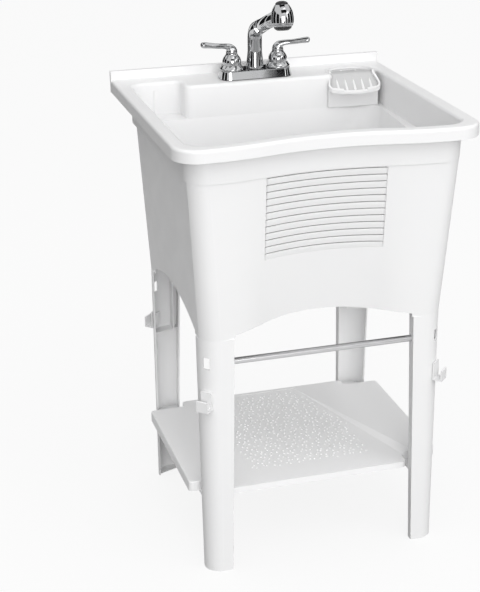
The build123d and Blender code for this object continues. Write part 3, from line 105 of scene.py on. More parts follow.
def rounded_line(corners: Sequence[Sequence[float]], steps: int) -> Array:
    """A line of straight runs with rounded corners.

    Formula: a corner with a cut c is replaced with the quadratic curve that starts c before it,
    ends c after it and has the corner itself as its middle control point.

    Args:
        corners: rows of (radius, height, cut).
        steps: how many points each rounding gets.

    Returns:
        Rows of (radius, height).
    """
    rows = np.asarray(corners, dtype=float)
    points, cuts = rows[:, :2], rows[:, 2:]
    back = np.vstack([points[:1], points[:-1]]) - points
    ahead = np.vstack([points[1:], points[-1:]]) - points
    start, end = (
        points + cuts * way / np.maximum(np.linalg.norm(way, axis=1, keepdims=True), LEAST_LENGTH)
        for way in (back, ahead)
    )
    share = np.linspace(0.0, 1.0, steps)[None, :, None]
    curve = (
        (1 - share) ** 2 * start[:, None]
        + 2 * share * (1 - share) * points[:, None]
        + share**2 * end[:, None]
    )
    flat = curve.reshape(-1, 2)
    moved = np.append(True, np.linalg.norm(np.diff(flat, axis=0), axis=1) > SAME_POINT)
    return flat[moved]


def turned(profile: Array, turns: int, centre: Point = (0.0, 0.0, 0.0)) -> Array:
    """The surface of a lathed piece, from its foot upwards.

    Formula: the profile point (r, h) at the turn a lies at (r cos a, r sin a, h) from the centre.

    Args:
        profile: rows of (radius, height).
        turns: how many points go round.
        centre: the point that radius 0 and height 0 stand for.

    Returns:
        A grid of points: profile rows, then turns.
    """
    angle = np.arange(turns) * 2 * math.pi / turns
    radius, height = profile[:, :1], profile[:, 1:]
    grid = np.stack([radius * np.cos(angle), radius * np.sin(angle), height + 0 * angle], axis=-1)
    return grid + np.array(centre)


def carried(centres: Array, sides: Array, ups: Array, sizes: Array, turns: int) -> Array:
    """The surface of an oval carried along a line.

    Formula: at a station the point at the turn a is centre + side w cos a + up h sin a.

    Args:
        centres: the line's points.
        sides: a unit vector across the line, for all points or for each; side x up points along it.
        ups: the other unit vector across the line, for all points or for each.
        sizes: rows of (w, h), the half width and the half height.
        turns: how many points go round.

    Returns:
        A grid of points: stations, then turns.
    """
    angle = np.arange(turns) * 2 * math.pi / turns
    side, up = (np.broadcast_to(way, centres.shape)[:, None, :] for way in (sides, ups))
    across = (sizes[:, :1] * np.cos(angle))[..., None] * side
    upright = (sizes[:, 1:] * np.sin(angle))[..., None] * up
    return centres[:, None, :] + across + upright


def skin(grid: Array, first: int) -> tuple[Array, Array, Array]:
    """The points and faces of a grid that is closed round its rows and at both ends.

    Formula: each cell is a face of four corners, and each end row is joined to its middle point. An
    end row that has shrunk to a point is that middle point.

    Args:
        grid: a grid of points: rows, then turns.
        first: the number of its first point in the mesh.

    Returns:
        The points, the faces with four corners and the faces with three.
    """
    spread = np.ptp(grid, axis=1).max(axis=1)
    ends = np.stack([grid[0].mean(axis=0), grid[-1].mean(axis=0)])
    grid = grid[int(spread[0] < SAME_POINT):len(grid) - int(spread[-1] < SAME_POINT)]
    rows, turns = grid.shape[:2]
    here = np.arange(turns)
    there = np.roll(here, -1)
    row = first + np.arange(rows - 1)[:, None] * turns
    fours = np.stack([row + here, row + there, row + turns + there, row + turns + here], axis=-1)
    foot = first + rows * turns
    last = first + (rows - 1) * turns
    threes = np.vstack([
        np.stack([np.full(turns, foot), first + there, first + here], axis=-1),
        np.stack([np.full(turns, foot + 1), last + here, last + there], axis=-1),
    ])
    return np.vstack([grid.reshape(-1, 3), ends]), fours.reshape(-1, 4), threes


# ---------------------------------------------------------------- scene helpers


def linked(name: str, data: bpy.types.ID) -> bpy.types.Object:
    """Makes an object and links it to the scene.

    Args:
        name: the object's name.
        data: its mesh, light or camera.

    Returns:
        The new object.
    """
    made = bpy.data.objects.new(name, data)
    bpy.context.scene.collection.objects.link(made)
    return made


def flat_card(
    name: str, centre: Point, across: Point, up: Point, material: bpy.types.Material
) -> bpy.types.Object:
    """Makes a flat card for the studio.

    Formula: its corners lie half a width and half a height to either side of its centre.

    Args:
        name: the card's name.
        centre: its middle.
        across: half its width, as a vector.
        up: half its height, as a vector.
        material: its material.

    Returns:
        The card.
    """
    middle, wide, tall = (np.array(vector, dtype=float) for vector in (centre, across, up))
    corners = [middle - wide - tall, middle + wide - tall, middle + wide + tall, middle - wide + tall]
    mesh = bpy.data.meshes.new(name)
    mesh.from_pydata([tuple(corner) for corner in corners], [], [(0, 1, 2, 3)])
    mesh.materials.append(material)
    card = linked(name, mesh)
    return card


def facing(place: Point, right: Array, up: Array, ahead: Array) -> Matrix:
    """The placement of a lamp or a camera, which looks along its own -Z axis.

    Args:
        place: where it stands.
        right: the direction of its right side.
        up: the direction of its top.
        ahead: the direction that it faces.

    Returns:
        A matrix with four rows.
    """
    turn = Matrix([(right[i], up[i], -ahead[i]) for i in range(3)])
    return Matrix.Translation(place) @ turn.to_4x4()


# ---------------------------------------------------------------- node helpers


class Graph:
    """A shader node tree with short ways to add and join nodes."""

    def __init__(self, tree: bpy.types.NodeTree) -> None:
        """Starts on an existing tree."""
        self.tree = tree

    @classmethod
    def of(cls, owner: bpy.types.Material | bpy.types.World) -> "Graph":
        """Starts on the emptied tree of a material or a world.

        Args:
            owner: the material or the world.

        Returns:
            The graph.
        """
        owner.use_nodes = True
        owner.node_tree.nodes.clear()
        return cls(owner.node_tree)

    def add(self, kind: str, **settings: object) -> Node:
        """Adds a node.

        Args:
            kind: the node's type name.
            settings: properties to set on it.

        Returns:
            The new node.
        """
        node = self.tree.nodes.new(kind)
        for name, value in settings.items():
            setattr(node, name, value)
        return node

    def join(self, source: Socket, target: Socket) -> None:
        """Joins an output socket to an input socket."""
        self.tree.links.new(source, target)

    def put_out(self, shader: Socket, kind: str = "ShaderNodeOutputMaterial") -> None:
        """Joins a shader to a new output node."""
        self.join(shader, self.add(kind).inputs["Surface"])

    def math(self, operation: str, first: object, second: object) -> Socket:
        """Adds a Math node.

        Args:
            operation: the node's operation.
            first: a socket or a number.
            second: a socket or a number.

        Returns:
            The node's output socket.
        """
        node = self.add("ShaderNodeMath", operation=operation)
        for place, value in enumerate((first, second)):
            if isinstance(value, (int, float)):
                node.inputs[place].default_value = value
            else:
                self.join(value, node.inputs[place])
        return node.outputs[0]

    def noise(self, place: Socket, size: Socket, detail: float, distortion: float = 0.0) -> Socket:
        """Adds a noise.

        Args:
            place: the coordinates that it reads.
            size: the size of its patches.
            detail: how many finer layers it adds.
            distortion: how far its patches are pulled about.

        Returns:
            A socket that puts out 0 to 1.
        """
        node = self.add("ShaderNodeTexNoise", noise_dimensions="3D")
        node.inputs["Detail"].default_value = detail
        node.inputs["Distortion"].default_value = distortion
        self.join(place, node.inputs["Vector"])
        self.join(self.math("DIVIDE", 1.0, size), node.inputs["Scale"])
        return node.outputs["Fac"]

    def blend(self, first: Colour, second: Colour, share: Socket) -> Socket:
        """Adds a mix of two colours.

        Args:
            first: the colour where the share is 0.
            second: the colour where the share is 1.
            share: the socket that mixes them.

        Returns:
            The mixed colour's socket.
        """
        node = self.add("ShaderNodeMix", data_type="RGBA")
        node.inputs["A"].default_value = (*first, 1.0)
        node.inputs["B"].default_value = (*second, 1.0)
        self.join(share, node.inputs["Factor"])
        return next(socket for socket in node.outputs if socket.type == "RGBA")

    def seen(self) -> Socket:
        """Gives 1 on rays from the camera or off a mirror and 0 on all others."""
        rays = self.add("ShaderNodeLightPath").outputs
        return self.math("MAXIMUM", rays["Is Camera Ray"], rays["Is Glossy Ray"])


class Effect(Enum):
    """Shared shader effects, each a node group built once."""

    GRAIN = "moulding_grain"
    HANDLING = "handling_marks"
    TONE = "tone_drift"


class EffectLibrary:
    """Builds each shared effect once and places it in a material with that material's values."""

    # The finer layers of each effect's noise, how far handling marks are pulled about, and the part
    # of their noise that is spread out from low to high
    GRAIN_DETAIL = 2.0
    HANDLING_DETAIL = 4.0
    HANDLING_DISTORTION = 0.6
    HANDLING_RANGE = (0.35, 0.65)
    TONE_DETAIL = 3.0

    def __init__(self) -> None:
        """Starts with no group built."""
        self.groups: dict[Effect, bpy.types.NodeTree] = {}

    def group(self, effect: Effect) -> bpy.types.NodeTree:
        """Gives an effect's node group, built at first use.

        Args:
            effect: which effect.

        Returns:
            The node group.
        """
        if effect not in self.groups:
            makers = {
                Effect.GRAIN: self._grain,
                Effect.HANDLING: self._handling,
                Effect.TONE: self._tone,
            }
            self.groups[effect] = makers[effect]()
        return self.groups[effect]

    def place(self, graph: Graph, effect: Effect, **values: float) -> Socket:
        """Places an effect in a material, reading Object coordinates.

        Args:
            graph: the material's graph.
            effect: which effect.
            values: the group's inputs by name, with spaces as underscores.

        Returns:
            The effect's output socket.
        """
        node = graph.add("ShaderNodeGroup", node_tree=self.group(effect))
        spot = graph.add("ShaderNodeTexCoord")
        graph.join(spot.outputs["Object"], node.inputs["Place"])
        for name, value in values.items():
            node.inputs[name.replace("_", " ")].default_value = value
        return node.outputs[0]

    @staticmethod
    def _empty(effect: Effect, inputs: Sequence[str], output: str) -> tuple[Graph, Node, Socket]:
        """Makes a group with a Place input, number inputs and one number output.

        Args:
            effect: the effect that the group is for.
            inputs: the names of its number inputs.
            output: the name of its output.

        Returns:
            The group's graph, its input node and the socket that its output is joined to.
        """
        tree = bpy.data.node_groups.new(effect.value, "ShaderNodeTree")
        tree.interface.new_socket("Place", in_out="INPUT", socket_type="NodeSocketVector")
        for label in inputs:
            tree.interface.new_socket(label, in_out="INPUT", socket_type="NodeSocketFloat")
        tree.interface.new_socket(output, in_out="OUTPUT", socket_type="NodeSocketFloat")
        graph = Graph(tree)
        return graph, graph.add("NodeGroupInput"), graph.add("NodeGroupOutput").inputs[output]

    def _grain(self) -> bpy.types.NodeTree:
        """Fine pebbling of a mould plus the slow waviness of a moulded wall.

        Returns:
            A group that puts out a height.
        """
        graph, start, end = self._empty(Effect.GRAIN, ("Pebble Size", "Wave Size", "Wave Share"), "Height")
        pebble, wave = (
            graph.noise(start.outputs["Place"], start.outputs[size], self.GRAIN_DETAIL)
            for size in ("Pebble Size", "Wave Size")
        )
        share = start.outputs["Wave Share"]
        slow = graph.math("MULTIPLY", wave, share)
        fine = graph.math("MULTIPLY", pebble, graph.math("SUBTRACT", 1.0, share))
        graph.join(graph.math("ADD", slow, fine), end)
        return graph.tree

    def _handling(self) -> bpy.types.NodeTree:
        """Soft patches where hands and cloths have dulled or polished a surface.

        Returns:
            A group that puts out a roughness that drifts between a low and a high value.
        """
        graph, start, end = self._empty(Effect.HANDLING, ("Low", "High", "Patch Size"), "Roughness")
        place, size = start.outputs["Place"], start.outputs["Patch Size"]
        noise = graph.noise(place, size, self.HANDLING_DETAIL, self.HANDLING_DISTORTION)
        low, high = self.HANDLING_RANGE
        spread = graph.add("ShaderNodeMapRange")
        spread.inputs["From Min"].default_value = low
        spread.inputs["From Max"].default_value = high
        graph.join(noise, spread.inputs["Value"])
        graph.join(start.outputs["Low"], spread.inputs["To Min"])
        graph.join(start.outputs["High"], spread.inputs["To Max"])
        graph.join(spread.outputs["Result"], end)
        return graph.tree

    def _tone(self) -> bpy.types.NodeTree:
        """A slow drift of shade over a piece, as between two batches of pigment.

        Returns:
            A group that puts out a mask from 0 to 1.
        """
        graph, start, end = self._empty(Effect.TONE, ("Patch Size",), "Mask")
        graph.join(graph.noise(start.outputs["Place"], start.outputs["Patch Size"], self.TONE_DETAIL), end)
        return graph.tree


# ---------------------------------------------------------------- finishes


@dataclass(frozen=True)
class Finish:
    """A surface finish: its two colours, gloss and relief, and the size of what drifts in each."""

    name: str
    colour: Colour
    second: Colour
    roughness: tuple[float, float]
    slot: str
    metallic: float = 0.0
    specular: float = 0.5
    tone_size: float = 150 * MM
    patch_size: float = 30 * MM
    pebble: float = 1 * MM
    wave: float = 90 * MM
    wave_share: float = 0.5
    relief: float = 0.05 * MM

    def material(self, effects: EffectLibrary) -> bpy.types.Material:
        """Builds the material.

        Args:
            effects: the shared shader effects.

        Returns:
            A material with a Principled BSDF.
        """
        made = bpy.data.materials.new(self.name)
        graph = Graph.of(made)
        shader = graph.add("ShaderNodeBsdfPrincipled")
        graph.put_out(shader.outputs["BSDF"])
        shader.inputs["Metallic"].default_value = self.metallic
        shader.inputs["Specular IOR Level"].default_value = self.specular
        tone = effects.place(graph, Effect.TONE, Patch_Size=self.tone_size)
        graph.join(graph.blend(self.colour, self.second, tone), shader.inputs["Base Color"])
        low, high = self.roughness
        marks = effects.place(graph, Effect.HANDLING, Low=low, High=high, Patch_Size=self.patch_size)
        graph.join(marks, shader.inputs["Roughness"])
        grain = effects.place(
            graph, Effect.GRAIN, Pebble_Size=self.pebble, Wave_Size=self.wave, Wave_Share=self.wave_share
        )
        bump = graph.add("ShaderNodeBump")
        bump.inputs["Strength"].default_value = 1.0
        bump.inputs["Distance"].default_value = self.relief
        graph.join(grain, bump.inputs["Height"])
        graph.join(bump.outputs["Normal"], shader.inputs["Normal"])
        return made


# The weak shine of a moulded white plastic
SOFT_SHINE = 0.25

TUB_WHITE = Finish(
    "tub_white", (0.87, 0.87, 0.87), (0.845, 0.845, 0.85), (0.40, 0.50), "tub_white",
    specular=SOFT_SHINE, pebble=1.2 * MM, relief=0.06 * MM,
)
LEG_WHITE = Finish(
    "leg_white", (0.86, 0.86, 0.86), (0.835, 0.835, 0.84), (0.42, 0.52), "leg_white",
    specular=SOFT_SHINE, pebble=0.9 * MM,
)
# A lighter copy of the legs' white: painted light that brightens the shelf in the tub's shadow
SHELF_LIT_WHITE = Finish(
    "shelf_lit_white", (0.93, 0.93, 0.93), (0.905, 0.905, 0.91), (0.42, 0.52), "leg_white",
    specular=SOFT_SHINE, pebble=0.9 * MM,
)
# A darker copy of the tub's white: painted shade that tones the whole dish down
DISH_SHADED_WHITE = Finish(
    "dish_shaded_white", (0.83, 0.83, 0.83), (0.81, 0.81, 0.815), (0.38, 0.50), "tub_white",
    specular=SOFT_SHINE, pebble=0.9 * MM,
)
# A grey sheet laid on the dish's floor: painted shade that darkens the floor
DISH_SHADE_FILM = Finish(
    "dish_painted_shade", (0.54, 0.54, 0.54), (0.60, 0.60, 0.605), (0.45, 0.7), "tub_white",
    specular=SOFT_SHINE, tone_size=20 * MM, patch_size=12 * MM, pebble=0.6 * MM, wave=15 * MM,
    relief=0.08 * MM,
)
GROOVE_SHADE = Finish(
    "groove_shade", (0.24, 0.24, 0.24), (0.30, 0.30, 0.30), (0.6, 0.8), "tub_white",
    specular=0.1, tone_size=40 * MM, relief=0.03 * MM,
)
CHROME = Finish(
    "chrome_plate", (0.53, 0.535, 0.54), (0.49, 0.495, 0.505), (0.04, 0.08), "chrome",
    metallic=1.0, pebble=2 * MM, wave=20 * MM, wave_share=0.9, relief=0.004 * MM,
)
BAR_METAL = Finish(
    "satin_tube", (0.62, 0.62, 0.625), (0.57, 0.57, 0.58), (0.30, 0.40), "leg_white",
    metallic=1.0, pebble=0.8 * MM, relief=0.01 * MM,
)
BRASS = Finish(
    "turned_brass", (0.70, 0.50, 0.22), (0.62, 0.43, 0.18), (0.22, 0.34), "brass",
    metallic=1.0, relief=0.01 * MM,
)
STEEL = Finish(
    "brushed_steel", (0.60, 0.61, 0.63), (0.54, 0.55, 0.57), (0.22, 0.36), "steel",
    metallic=1.0, relief=0.01 * MM,
)
BLACK = Finish(
    "black_plastic", (0.012, 0.012, 0.013), (0.02, 0.02, 0.022), (0.28, 0.42), "black_plastic",
    relief=0.02 * MM,
)
GREY = Finish(
    "grey_plastic", (0.55, 0.55, 0.56), (0.50, 0.50, 0.51), (0.45, 0.6), "grey_plastic",
    relief=0.03 * MM,
)
RUBBER = Finish(
    "soft_rubber", (0.02, 0.02, 0.02), (0.03, 0.03, 0.03), (0.6, 0.8), "black_rubber",
    relief=0.03 * MM,
)

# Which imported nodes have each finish: whole names, or the starts of names where they end in _
NODE_FINISHES: tuple[tuple[Finish, tuple[str, ...]], ...] = (
    (TUB_WHITE, ("tub_basin", "skirt")),
    (DISH_SHADED_WHITE, ("soap_dish",)),
    (LEG_WHITE, ("leg_", "hook_")),
    (SHELF_LIT_WHITE, ("storage_shelf",)),
    (BAR_METAL, ("towel_bar",)),
    (CHROME, (
        "faucet_base", "valve_bell_", "lever_hot", "lever_cold", "spout", "spray_wand", "head_ring",
        "tailpiece", "tail_nut",
    )),
    (BRASS, ("valve_body_", "valve_stem_", "spout_bushing")),
    (STEEL, ("drain_body", "drain_nut", "lever_screw_")),
    (BLACK, ("spray_button", "spray_face")),
    (GREY, ("shank_nuts",)),
    (RUBBER, ("faucet_gasket", "drain_gasket", "drain_stopper")),
)


class Dresser:
    """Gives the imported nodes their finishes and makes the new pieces."""

    def __init__(self, nodes: dict[str, bpy.types.Object], effects: EffectLibrary) -> None:
        """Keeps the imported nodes.

        Args:
            nodes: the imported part's objects by node name.
            effects: the shared shader effects.
        """
        self.nodes = nodes
        self.effects = effects
        self.made: dict[str, bpy.types.Material] = {}

    def material(self, finish: Finish) -> bpy.types.Material:
        """Gives a finish's material, built at first use.

        Args:
            finish: which finish.

        Returns:
            Its material.
        """
        if finish.name not in self.made:
            self.made[finish.name] = finish.material(self.effects)
        return self.made[finish.name]

    @staticmethod
    def finish_of(name: str) -> Finish | None:
        """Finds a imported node's finish.

        Args:
            name: the node's name.

        Returns:
            The finish of the first row that names the node, or nothing.
        """
        for finish, starts in NODE_FINISHES:
            if any(name == start or (start.endswith("_") and name.startswith(start)) for start in starts):
                return finish
        return None

    def dress(self) -> None:
        """Puts each node's finish in its material slots."""
        for name, thing in self.nodes.items():
            finish = self.finish_of(name)
            if finish is None:
                LOG.warning("no finish for %s", name)
                continue
            for slot in thing.material_slots:
                slot.material = self.material(finish)

    def add(self, name: str, grids: Sequence[Array], finish: Finish, body: str, *nodes: str) -> None:
        """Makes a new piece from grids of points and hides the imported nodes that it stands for.

        Args:
            name: the piece's name.
            grids: closed surfaces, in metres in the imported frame.
            finish: its finish.
            body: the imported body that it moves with.
            nodes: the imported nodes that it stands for, if any.
        """
        points: list[Array] = []
        faces: list[list[int]] = []
        first = 0
        for grid in grids:
            places, fours, threes = skin(grid, first)
            points.append(places)
            faces += fours.tolist() + threes.tolist()
            first += len(places)
        mesh = bpy.data.meshes.new(name)
        mesh.from_pydata(np.vstack(points).tolist(), [], faces)
        mesh.polygons.foreach_set("use_smooth", np.ones(len(mesh.polygons), dtype=bool))
        mesh.materials.append(self.material(finish))
        mesh.update()
        piece = linked(name, mesh)
        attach(piece, body)
        if nodes:
            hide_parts(*nodes)
        LOG.info("%s: %d faces", name, len(mesh.polygons))


# ---------------------------------------------------------------- faucet


# How far the middle of a rounded edge lies inside the corner that it replaces
EDGE_DIP = 0.2 * MM
# How far each lever points forward of straight out to its side in the photograph
HOT_SWEEP = math.radians(4.0)
COLD_SWEEP = math.radians(20.0)


@dataclass
class ArmLine:
    """The line that the spout's column, bend and arm follow, and the spray's tube after them."""

    back: float = 222 * MM
    corner: float = 997 * MM
    tilt: float = math.radians(20.0)
    bend: float = 26 * MM

    def full_turn(self) -> float:
        """The angle between the upright column and the arm."""
        return QUARTER - self.tilt

    def setback(self) -> float:
        """The distance from the corner at which the bend starts and ends."""
        return self.bend * math.tan(self.full_turn() / 2)

    def at(self, reach: Array | float) -> Array:
        """Points on the arm.

        Args:
            reach: distances from the corner between the column and the arm.

        Returns:
            The points, one row each.
        """
        out = np.atleast_1d(np.asarray(reach, dtype=float))
        y = self.back - out * math.cos(self.tilt)
        z = self.corner + out * math.sin(self.tilt)
        return np.stack([0 * out, y, z], axis=-1)

    def lean(self, turn: Array) -> Array:
        """The direction of the line where it has turned by an angle from upright."""
        return np.stack([0 * turn, -np.sin(turn), np.cos(turn)], axis=-1)

    def tube(self, centres: Array, turn: Array, radius: Array, turns: int) -> Array:
        """A round surface along part of the line.

        Args:
            centres: the line's points.
            turn: how far the line has turned from upright at each of them.
            radius: the radius at each of them.
            turns: how many points go round.

        Returns:
            A grid of points.
        """
        sizes = np.stack([radius, radius], axis=-1)
        return carried(centres, RIGHT, np.cross(self.lean(turn), RIGHT), sizes, turns)


@dataclass
class Spout:
    """Flared column, bend and short arm with the socket that the spray sits in."""

    line: ArmLine
    foot: float = 916.8 * MM
    foot_radius: float = 18.9 * MM
    foot_edge: float = 0.6 * MM
    foot_height: float = 5 * MM
    foot_taper: float = 0.3 * MM
    foot_cut: float = 2 * MM
    flare_top: float = 952 * MM
    flare_cut: float = 4 * MM
    radius: float = 15.2 * MM
    arm: float = 44 * MM
    lip: float = 0.7 * MM
    socket: float = 10 * MM
    socket_depth: float = 31.5 * MM
    rounding: int = 6
    bend_stations: int = 24
    turns: int = 72

    def build(self, dresser: Dresser) -> None:
        """Makes the spout.

        Formula: one round surface that goes up the column, round the bend and out along the arm,
        turns in at the arm's end and goes back down the socket. The flare narrows as a cone whose
        top is rounded into the column.

        Args:
            dresser: where the piece is made and dressed.
        """
        line = self.line
        bend_foot = line.corner - line.setback()
        column = rounded_line([
            (self.foot_radius - self.foot_edge, self.foot, 0),
            (self.foot_radius, self.foot + self.foot_edge, self.foot_edge / 2),
            (self.foot_radius - self.foot_taper, self.foot + self.foot_height, self.foot_cut),
            (self.radius, self.flare_top, self.flare_cut),
            (self.radius, bend_foot, 0),
        ], self.rounding)
        level = 0 * column[:, 1]
        rise = np.stack([level, level + line.back, column[:, 1]], axis=-1)
        turn = np.linspace(0.0, line.full_turn(), self.bend_stations + 1)[1:]
        bend = np.stack([
            0 * turn, line.back - line.bend * (1 - np.cos(turn)), bend_foot + line.bend * np.sin(turn)
        ], axis=-1)
        # Distance along the arm and radius, from the outer edge of the mouth to the socket's floor
        mouth = np.array([
            (self.arm - self.lip, self.radius),
            (self.arm - EDGE_DIP, self.radius - EDGE_DIP),
            (self.arm, self.radius - self.lip),
            (self.arm, self.socket + self.lip),
            (self.arm - self.lip, self.socket),
            (self.arm - self.socket_depth, self.socket),
        ])
        grid = line.tube(
            np.vstack([rise, bend, line.at(mouth[:, 0])]),
            np.concatenate([level, turn, np.full(len(mouth), line.full_turn())]),
            np.concatenate([column[:, 0], np.full(len(turn), self.radius), mouth[:, 1]]),
            self.turns,
        )
        dresser.add("spout_column", [grid], CHROME, "spout", "spout")


@dataclass
class Spray:
    """Pull-out spray: tube, egg-shaped head, button, bright ring and spray face."""

    line: ArmLine
    reach: float = 198 * MM
    lean: float = math.radians(10.0)
    joint: float = 44.3 * MM
    joint_edge: float = 0.6 * MM
    tube_radius: float = 14.2 * MM
    spigot_radius: float = 9.95 * MM
    spigot: float = 30 * MM
    turns: int = 72
    nozzle_turns: int = 14
    # How many points each run or rounding of a profile gets, and the button's dome
    steps: int = 5
    small_steps: int = 4
    edge_steps: int = 2
    dome_points: int = 16

    # Profiles about the head's own axis, from the point where the arm's line meets it: rows of
    # radius and height, in millimetres, and of the cut where they are rounded
    BARREL_FOOT = ((0.0, -20.5), (20.6, -20.5), (21.0, -20.35))
    BARREL = (
        (21.2, -19.9), (22.0, -17.8), (22.5, -14.5), (22.7, -11.0), (22.6, -6.4), (22.1, -1.7),
        (21.2, 2.9), (19.8, 7.3), (18.1, 11.0), (16.1, 14.5), (14.0, 17.4),
    )
    WELL_EDGE = ((13.6, 17.85), (13.2, 18.0), (12.8, 17.8), (12.65, 17.2))
    WELL_FLOOR = ((12.65, 9.2), (0.0, 9.2))
    RING_FOOT = ((12.3, -25.0),)
    RING_SIDE = ((18.1, -25.0), (18.7, -24.6), (19.8, -23.5), (20.6, -22.2), (21.0, -21.0))
    RING_TOP = ((20.7, -20.8), (12.3, -20.8))
    PLATE = (
        (0, -31.4, 0), (8.6, -31.4, 0.5), (9.4, -32.3, 0.4), (11.0, -32.3, 0.6), (13.6, -30.8, 1.2),
        (16.9, -28.4, 1.2), (17.8, -25.3, 0.4), (12.0, -25.3, 0), (12.0, -14.8, 0), (0, -14.8, 0),
    )
    NOZZLE = ((0, -32.6, 0), (0.75, -32.6, 0.25), (1.0, -31.2, 0.2), (0, -31.2, 0))
    # How many nozzles stand in each ring, and the ring's radius
    NOZZLE_RINGS = ((10, 7.2 * MM), (5, 3.6 * MM))
    BUTTON_SIDE = ((0, 12.4, 0), (12.6, 12.4, 0.4), (12.6, 18.9, 0))
    # The dome's radius, foot and rise
    BUTTON_DOME = (12.6, 19.0, 6.2)

    def build(self, dresser: Dresser) -> None:
        """Makes the spray's pieces.

        Args:
            dresser: where the pieces are made and dressed.
        """
        dresser.add("spray_body", [self._tube(), self._barrel()], CHROME, "spray", "spray_wand")
        dresser.add("spray_ring", [self._ring()], CHROME, "spray", "head_ring")
        dresser.add("spray_plate", [self._plate(), *self._nozzles()], BLACK, "spray", "spray_face")
        dresser.add("spray_press", [self._button()], BLACK, "button", "spray_button")

    def _stand(self, grid: Array) -> Array:
        """Moves a surface from the head's own upright axis to its place on the arm.

        Formula: the point turns back by the lean about the X axis, then moves to the arm's end.

        Args:
            grid: points about the head's axis.

        Returns:
            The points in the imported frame.
        """
        x, y, z = np.moveaxis(grid, -1, 0)
        c, s = math.cos(self.lean), math.sin(self.lean)
        return np.stack([x, c * y + s * z, c * z - s * y], axis=-1) + self.line.at(self.reach)[0]

    def _lathed(self, *profiles: Sequence[Sequence[float]]) -> Array:
        """Turns profiles in millimetres, one after another, about the head's axis."""
        return self._stand(turned(np.vstack(profiles) * MM, self.turns))

    def _tube(self) -> Array:
        """The tube and the spigot behind it, as one stepped round surface along the arm.

        Returns:
            A grid of points.
        """
        edge = self.joint_edge
        # Distance along the arm and radius
        steps = np.array([
            (self.joint - self.spigot, self.spigot_radius - edge),
            (self.joint - self.spigot + edge, self.spigot_radius),
            (self.joint, self.spigot_radius),
            (self.joint, self.tube_radius - edge),
            (self.joint + EDGE_DIP, self.tube_radius - EDGE_DIP),
            (self.joint + edge, self.tube_radius),
            (self.reach, self.tube_radius),
        ])
        turn = np.full(len(steps), self.line.full_turn())
        return self.line.tube(self.line.at(steps[:, 0]), turn, steps[:, 1], self.turns)

    def _barrel(self) -> Array:
        """The head: an egg, cut off below, with a well for the button in its top."""
        egg, edge = smooth_line(self.BARREL, self.steps), smooth_line(self.WELL_EDGE, self.edge_steps)
        return self._lathed(self.BARREL_FOOT, egg, edge, self.WELL_FLOOR)

    def _ring(self) -> Array:
        """The bright ring that curves in below the barrel."""
        return self._lathed(self.RING_FOOT, smooth_line(self.RING_SIDE, self.steps), self.RING_TOP)

    def _plate(self) -> Array:
        """The dark spray face, dished towards its nozzles, with the plug that holds it."""
        return self._lathed(rounded_line(self.PLATE, self.steps))

    def _nozzles(self) -> list[Array]:
        """Soft nozzle tips: a ring of ten and one of five inside it.

        Returns:
            A grid of points for each nozzle.
        """
        tip = rounded_line(self.NOZZLE, self.small_steps) * MM
        made = []
        for count, out in self.NOZZLE_RINGS:
            for turn in np.arange(count) * 2 * math.pi / count:
                centre = (out * math.cos(turn), out * math.sin(turn), 0.0)
                made.append(self._stand(turned(tip, self.nozzle_turns, centre)))
        return made

    def _button(self) -> Array:
        """The domed button.

        Formula: above its straight side the dome is a quarter of an ellipse.

        Returns:
            A grid of points.
        """
        turn = np.linspace(0.0, QUARTER, self.dome_points)
        radius, foot, rise = self.BUTTON_DOME
        dome = np.stack([radius * np.cos(turn), foot + rise * np.sin(turn)], axis=-1)
        return self._lathed(rounded_line(self.BUTTON_SIDE, self.small_steps), dome)


